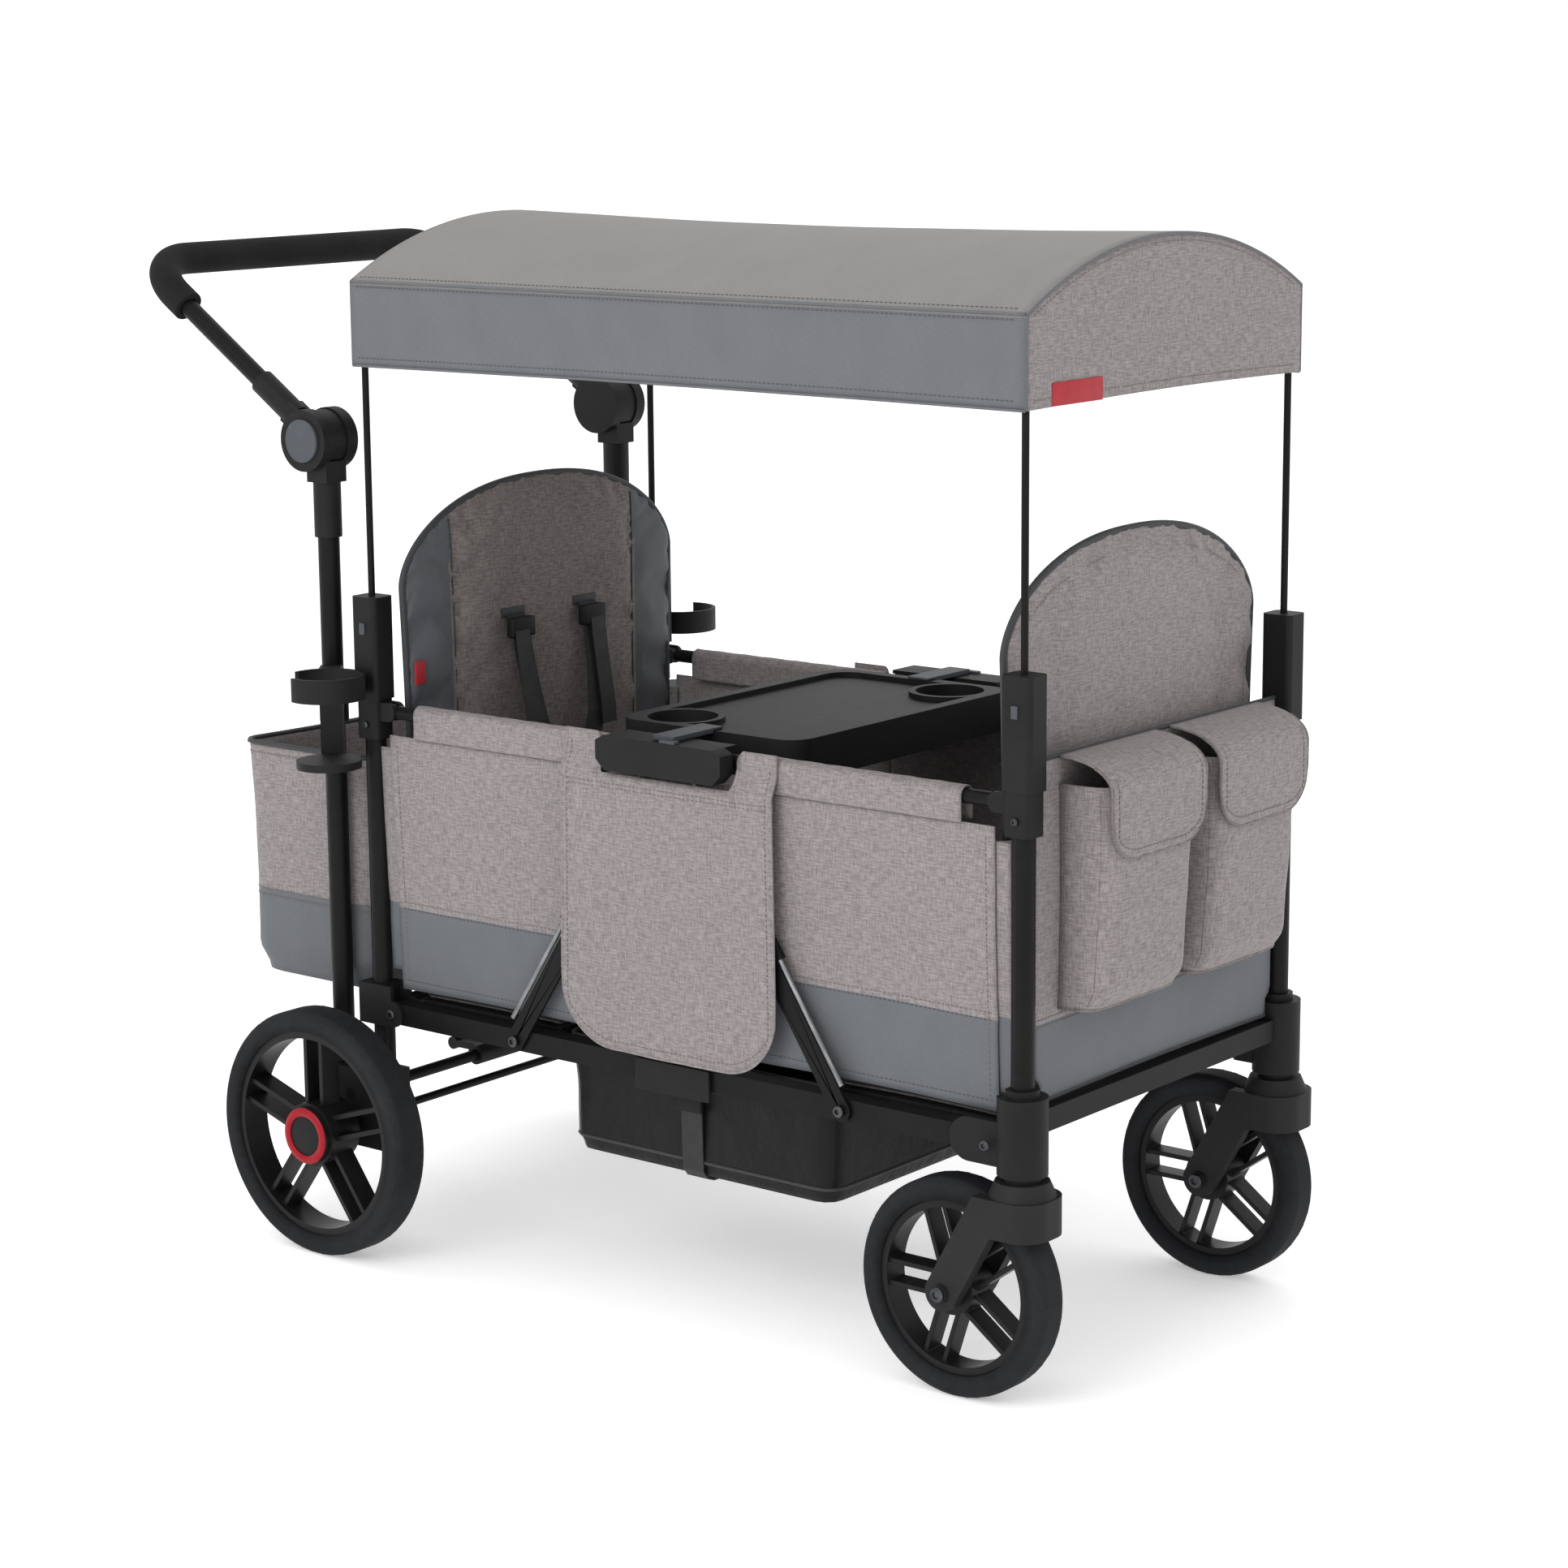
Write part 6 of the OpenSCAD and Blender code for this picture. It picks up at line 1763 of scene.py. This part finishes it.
@dataclass
class Pocket(Bags):
    """One front pocket: a bellied bag under a domed flap with rounded corners."""

    paint: Paint
    palette: Palette
    side: Side
    x: float = 464.4
    depth: float = 63.0
    near: float = 16.0
    far: float = 189.0
    low: float = 422.0
    mouth: float = 660.0
    flap_top: float = 689.0
    flap_low: float = 583.0
    hood: float = 32.0
    corner: float = 48.0

    def front(self, u: float, v: float) -> Vector:
        """Point of the bag's skin: u runs round from one side seam to the other."""
        s = self.side.value
        mid, half = (self.near + self.far) / 2, (self.far - self.near) / 2
        deep = self.depth * (0.85 + 0.15 * ease(0.0, 0.7, v)) * (1 - 0.3 * (1 - ease(-0.02, 0.14, v)) ** 2)
        ca, sa = math.cos(math.pi * u), math.sin(math.pi * u)
        y = mid + half * math.copysign(abs(ca) ** 0.28, ca) * (1 - 0.03 * math.sin(math.pi * v))
        slack = sa * math.sin(math.pi * v)
        fold = 1.8 * wave(3 + s, u * 1.4, v * 1.7) + 0.8 * wave(6 - s, u * 5.0, v * 2.0)
        x = self.x + deep * sa**0.55 + fold * slack
        return at(x, s * y, lerp(self.low, self.mouth, v))

    def flap(self, u: float, v: float) -> Vector:
        """Point of the flap: v runs from its seam on the panel, over the mouth, to its free edge."""
        mid, half = (self.near + self.far) / 2, (self.far - self.near) / 2 + 1.5
        t = 2 * u - 1
        into = max(0.0, abs(t) * half - (half - self.corner))
        lift = self.corner - math.sqrt(max(0.0, self.corner**2 - into**2))
        dome = 1 - abs(t) ** 3.2
        over = self.depth + 2.4
        fall = self.flap_top - self.hood - self.flap_low - lift
        run = v * (over + fall)
        turn, drop = min(1.0, run / over) * math.pi / 2, max(0.0, run - over)
        x = over * math.sin(turn) ** 0.85 + 1.2 * math.sin(math.pi * drop / fall) * dome
        bend = 1 - max(0.0, math.cos(turn)) ** 0.85
        z = self.flap_top - self.hood * bend - drop - 4 * (1 - dome) * math.sin(turn)
        return at(self.x + 1 + x, self.side.value * (mid + half * t), z)

    def build(self) -> None:
        """Makes the bag, the flap and their stitching."""
        p, w = self.palette, self.side.word
        flip = self.side is Side.RIGHT
        bag = Shape.cloth(f"pocket_bag_{w}", self.front, 60, 44, 0.002, flip=not flip)
        replaced = ("front_pockets",) if self.side is Side.LEFT else ()
        self.put(bag, "front_frame", p.heather, replaces=replaced)
        foot = [self.front(u, 0.0) for u in np.linspace(0, 1, 61)]
        base = [
            at(self.x, self.side.value * lerp(self.far, self.near, u), self.low)
            for u in np.linspace(0, 1, 61)
        ]

        def floor(u: float, v: float) -> Vector:
            return foot[round(u * 60)].lerp(base[round(u * 60)], v)

        strip = Shape.cloth(f"pocket_foot_{w}", floor, 60, 6, 0.002, flip=flip)
        self.put(strip, "front_frame", p.heather)
        self.put(Shape.tube(f"pocket_piping_{w}", foot, 0.0022, 8), "front_frame", p.heather_shade)
        for k, u in enumerate((0.2, 0.8)):
            seam = [self.front(u, v) for v in np.linspace(0.02, 0.98, 40)]
            self.put(Shape.tube(f"pocket_seam_{w}_{k}", seam, 0.0012, 6), "front_frame", p.heather_shade)
        flap = Shape.cloth(f"pocket_flap_{w}", self.flap, 56, 48, 0.0026, flip=not flip)
        self.put(flap, "front_frame", p.heather)
        edge = [self.flap(0.0, v) for v in np.linspace(0.3, 1, 30)]
        edge += [self.flap(u, 1.0) for u in np.linspace(0.02, 0.98, 60)]
        edge += [self.flap(1.0, v) for v in np.linspace(1, 0.3, 30)]
        self.put(Shape.tube(f"pocket_edge_{w}", edge, 0.0019, 8), "front_frame", p.heather_shade)
        inner = [self.flap(0.055, v) for v in np.linspace(0.35, 0.93, 30)]
        inner += [self.flap(u, 0.935) for u in np.linspace(0.07, 0.93, 60)]
        inner += [self.flap(0.945, v) for v in np.linspace(0.93, 0.35, 30)]
        inner = [q + Vector((0.0018, 0, 0)) for q in inner]
        self.put(Shape.stitches(f"pocket_stitch_{w}", inner, Vector((1, 0, 0))), "front_frame", p.thread)


@dataclass
class Wheels(Assembly):
    """Shoulder lugs on the tyres, and the dress of the hubs."""

    paint: Paint
    palette: Palette

    def lugs(
        self, name: str, centre: Vector, radius: float, width: float, count: int, edge: float = 9.0
    ) -> bpy.types.Object:
        """Low blocks round both shoulders of a tyre."""
        points: list[Vector] = []
        faces: list[tuple[int, ...]] = []
        plan = ((8.0, 0.1), (18.0, 0.6), (66.0, 0.6), (78.0, 0.1))
        for side in (-1, 1):
            for k in range(count):
                a = math.tau * (k + 0.25 * side) / count
                base = len(points)
                for angle, rise in plan:
                    t = math.radians(angle)
                    r = radius - edge + (edge + rise) * math.cos(t) - 0.25
                    y = side * (width / 2 - edge + (edge + rise) * math.sin(t))
                    for half in (-0.3, 0.3):
                        b = a + half * math.tau / count * (1 - 0.12 * (rise > 0.3))
                        points.append(centre + Vector((r * math.cos(b), y, r * math.sin(b))) * MM)
                faces += [
                    (base + 2 * j, base + 2 * j + 1, base + 2 * j + 3, base + 2 * j + 2) for j in range(3)
                ]
                faces += [
                    tuple(base + j for j in (0, 2, 4, 6)), tuple(base + j for j in (1, 7, 5, 3)),
                    (base, base + 6, base + 7, base + 1)
                ]
        obj = Shape.mesh(name, points, faces, smooth=False)
        Shape.outward(obj)
        return obj

    def build(self) -> None:
        """Makes the lugs, hub rings, caps and bolts."""
        p = self.palette
        for side in Side:
            s, w = side.value, side.word
            rear, front = at(-497, s * 322.5, 148), at(384, s * 250, 120)
            self.put(self.lugs(f"rear_lugs_{w}", rear, 148, 45, 27), f"rear_wheel_{w}", p.tyre)
            self.put(self.lugs(f"front_lugs_{w}", front, 120, 40, 24), f"front_wheel_{w}", p.tyre)
            face = at(-497, s * 352, 148)
            ring = [
                (0.0238, -0.0002), (0.0338, -0.0002), (0.0338, 0.001), (0.0318, 0.0028), (0.0264, 0.0034),
                (0.0238, 0.0018)
            ]
            ring = Shape.lathe(f"rear_ring_{w}", ring, face, (0, s, 0), 72, closed=True)
            self.put(ring, f"rear_wheel_{w}", p.ring_red)
            cap = [(0.0235, 0.0), (0.0235, 0.0006), (0.019, 0.0016), (0.011, 0.0022), (0.004, 0.0024)]
            self.put(Shape.lathe(f"rear_cap_{w}", cap, face, (0, s, 0), 64), f"rear_wheel_{w}", p.plastic)
            low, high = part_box(f"fork_{w}")
            for name, y, turn in (
                ("outer", high[1] if s > 0 else low[1], s), ("inner", low[1] if s > 0 else high[1], -s)
            ):
                spot = Vector((front.x, y, front.z))
                head = [
                    (0.0085, -0.0002), (0.0085, 0.003), (0.0075, 0.0042), (0.0042, 0.0044), (0.0036, 0.0026)
                ]
                bolt = Shape.lathe(f"front_bolt_{name}_{w}", head, spot, (0, turn, 0), 40)
                self.put(bolt, f"caster_{w}", p.steel_dark)


@dataclass
class Fittings(Assembly):
    """Screws and rivets on the frame's joints."""

    paint: Paint
    palette: Palette
    strut_x: float = 236.0
    post_x: float = 462.0
    pivot_x: float = 433.135
    rail_z: float = 288.0
    socket_z: float = 632.0

    def screw(self, name: str, spot: Vector, axis: Point, radius: float, body: str) -> None:
        """A domed screw head with a recess."""
        r = radius * MM
        head = [(r, -0.0003), (r, r * 0.25), (r * 0.82, r * 0.46), (r * 0.5, r * 0.52), (r * 0.44, r * 0.22)]
        self.put(Shape.lathe(name, head, spot, axis, 32), body, self.palette.steel_dark)

    def build(self) -> None:
        """Places the screws."""
        for side in Side:
            s, w = side.value, side.word
            out = (0, s, 0)
            for end in End:
                e, word = end.value, end.word
                heads = (
                    ("strut_rivet", f"struts_{word}", self.strut_x, self.rail_z, 6.5, f"strut_{word}"),
                    ("socket_screw", f"{word}_rod_sockets", self.post_x, self.socket_z, 4.0, f"{word}_frame"),
                    ("rail_rivet", f"{word}_brackets", self.pivot_x, self.rail_z, 6.0, f"{word}_frame"),
                )
                for name, node, x, z, radius, body in heads:
                    low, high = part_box(node)
                    spot = Vector((at(e * x, 0, 0).x, high[1] if s > 0 else low[1], z * MM))
                    self.screw(f"{name}_{word}_{w}", spot, out, radius, body)


@dataclass
class Stage:
    """The pale floor, the soft studio light and the camera."""

    paint: Paint
    palette: Palette
    spot: tuple[float, float, float] = (2.7821, -3.334, 1.427)
    yaw: float = 38.77
    pitch: float = 11.37
    roll: float = -0.49
    lens: float = 86.65
    floor_half: float = 40.0

    def build(self) -> None:
        """Makes the stage."""
        half = self.floor_half
        square = [(-half, -half, 0), (half, -half, 0), (half, half, 0), (-half, half, 0)]
        floor = Shape.mesh("stage_floor", square, [(0, 1, 2, 3)], smooth=False)
        self.paint.coat(floor, self.palette.floor)
        floor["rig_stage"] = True
        self.light("stage_key", (0.3, -4.0, 2.8), 2.4, 62.0)
        self.light("stage_rim", (-1.5, 3.4, 3.2), 2.6, 10.0)
        world = bpy.data.worlds.new("stage_world")
        bpy.context.scene.world = world
        world.use_nodes = True
        back = world.node_tree.nodes["Background"]
        back.inputs["Color"].default_value = (1.0, 1.0, 1.0, 1.0)
        back.inputs["Strength"].default_value = 1.0
        scene = bpy.context.scene
        scene.view_settings.view_transform = "Standard"
        data = bpy.data.cameras.new("stage_camera")
        data.lens = self.lens
        data.sensor_width = 36.0
        data.dof.use_dof = False
        camera = bpy.data.objects.new("stage_camera", data)
        scene.collection.objects.link(camera)
        aim = Euler((math.radians(90 - self.pitch), 0.0, math.radians(self.yaw))).to_matrix().to_4x4()
        lean = Matrix.Rotation(math.radians(self.roll), 4, "Z")
        camera.matrix_world = Matrix.Translation(Vector(self.spot)) @ aim @ lean
        scene.camera = camera

    def light(self, name: str, spot: Point, size: float, power: float) -> None:
        """A square soft light aimed at the middle of the wagon."""
        data = bpy.data.lights.new(name, "AREA")
        data.size = size
        data.energy = power
        lamp = bpy.data.objects.new(name, data)
        bpy.context.scene.collection.objects.link(lamp)
        lamp.location = spot
        lamp.rotation_euler = (Vector((0.1, 0.0, 0.55)) - Vector(spot)).to_track_quat("-Z", "Y").to_euler()


def corners(bounds: Sequence[Point]) -> list[list[float]]:
    """A box as plain numbers."""
    return [[float(c) for c in corner] for corner in bounds]


def main() -> None:
    """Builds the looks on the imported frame."""
    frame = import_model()
    sizes = {"cad": corners(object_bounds())}
    paint, palette = Paint(), Palette()
    parts: list[Assembly | Stage] = [HardParts(paint, palette, frame["nodes"]), Canopy(paint, palette)]
    parts += [SidePanel(paint, palette, side, end) for side in Side for end in End]
    parts += [Apron(paint, palette, side) for side in Side]
    parts += [SeatBack(paint, palette, end) for end in End]
    parts += [SeatPad(paint, palette, end) for end in End]
    parts += [Basket(paint, palette), Footwell(paint, palette), FrontPanel(paint, palette)]
    parts += [Wheels(paint, palette), Fittings(paint, palette), Stage(paint, palette)]
    for part in parts:
        part.build()
        log.info("built %s", type(part).__name__)
    sizes["visual"] = corners(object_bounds())


if __name__ == "__main__":
    main()
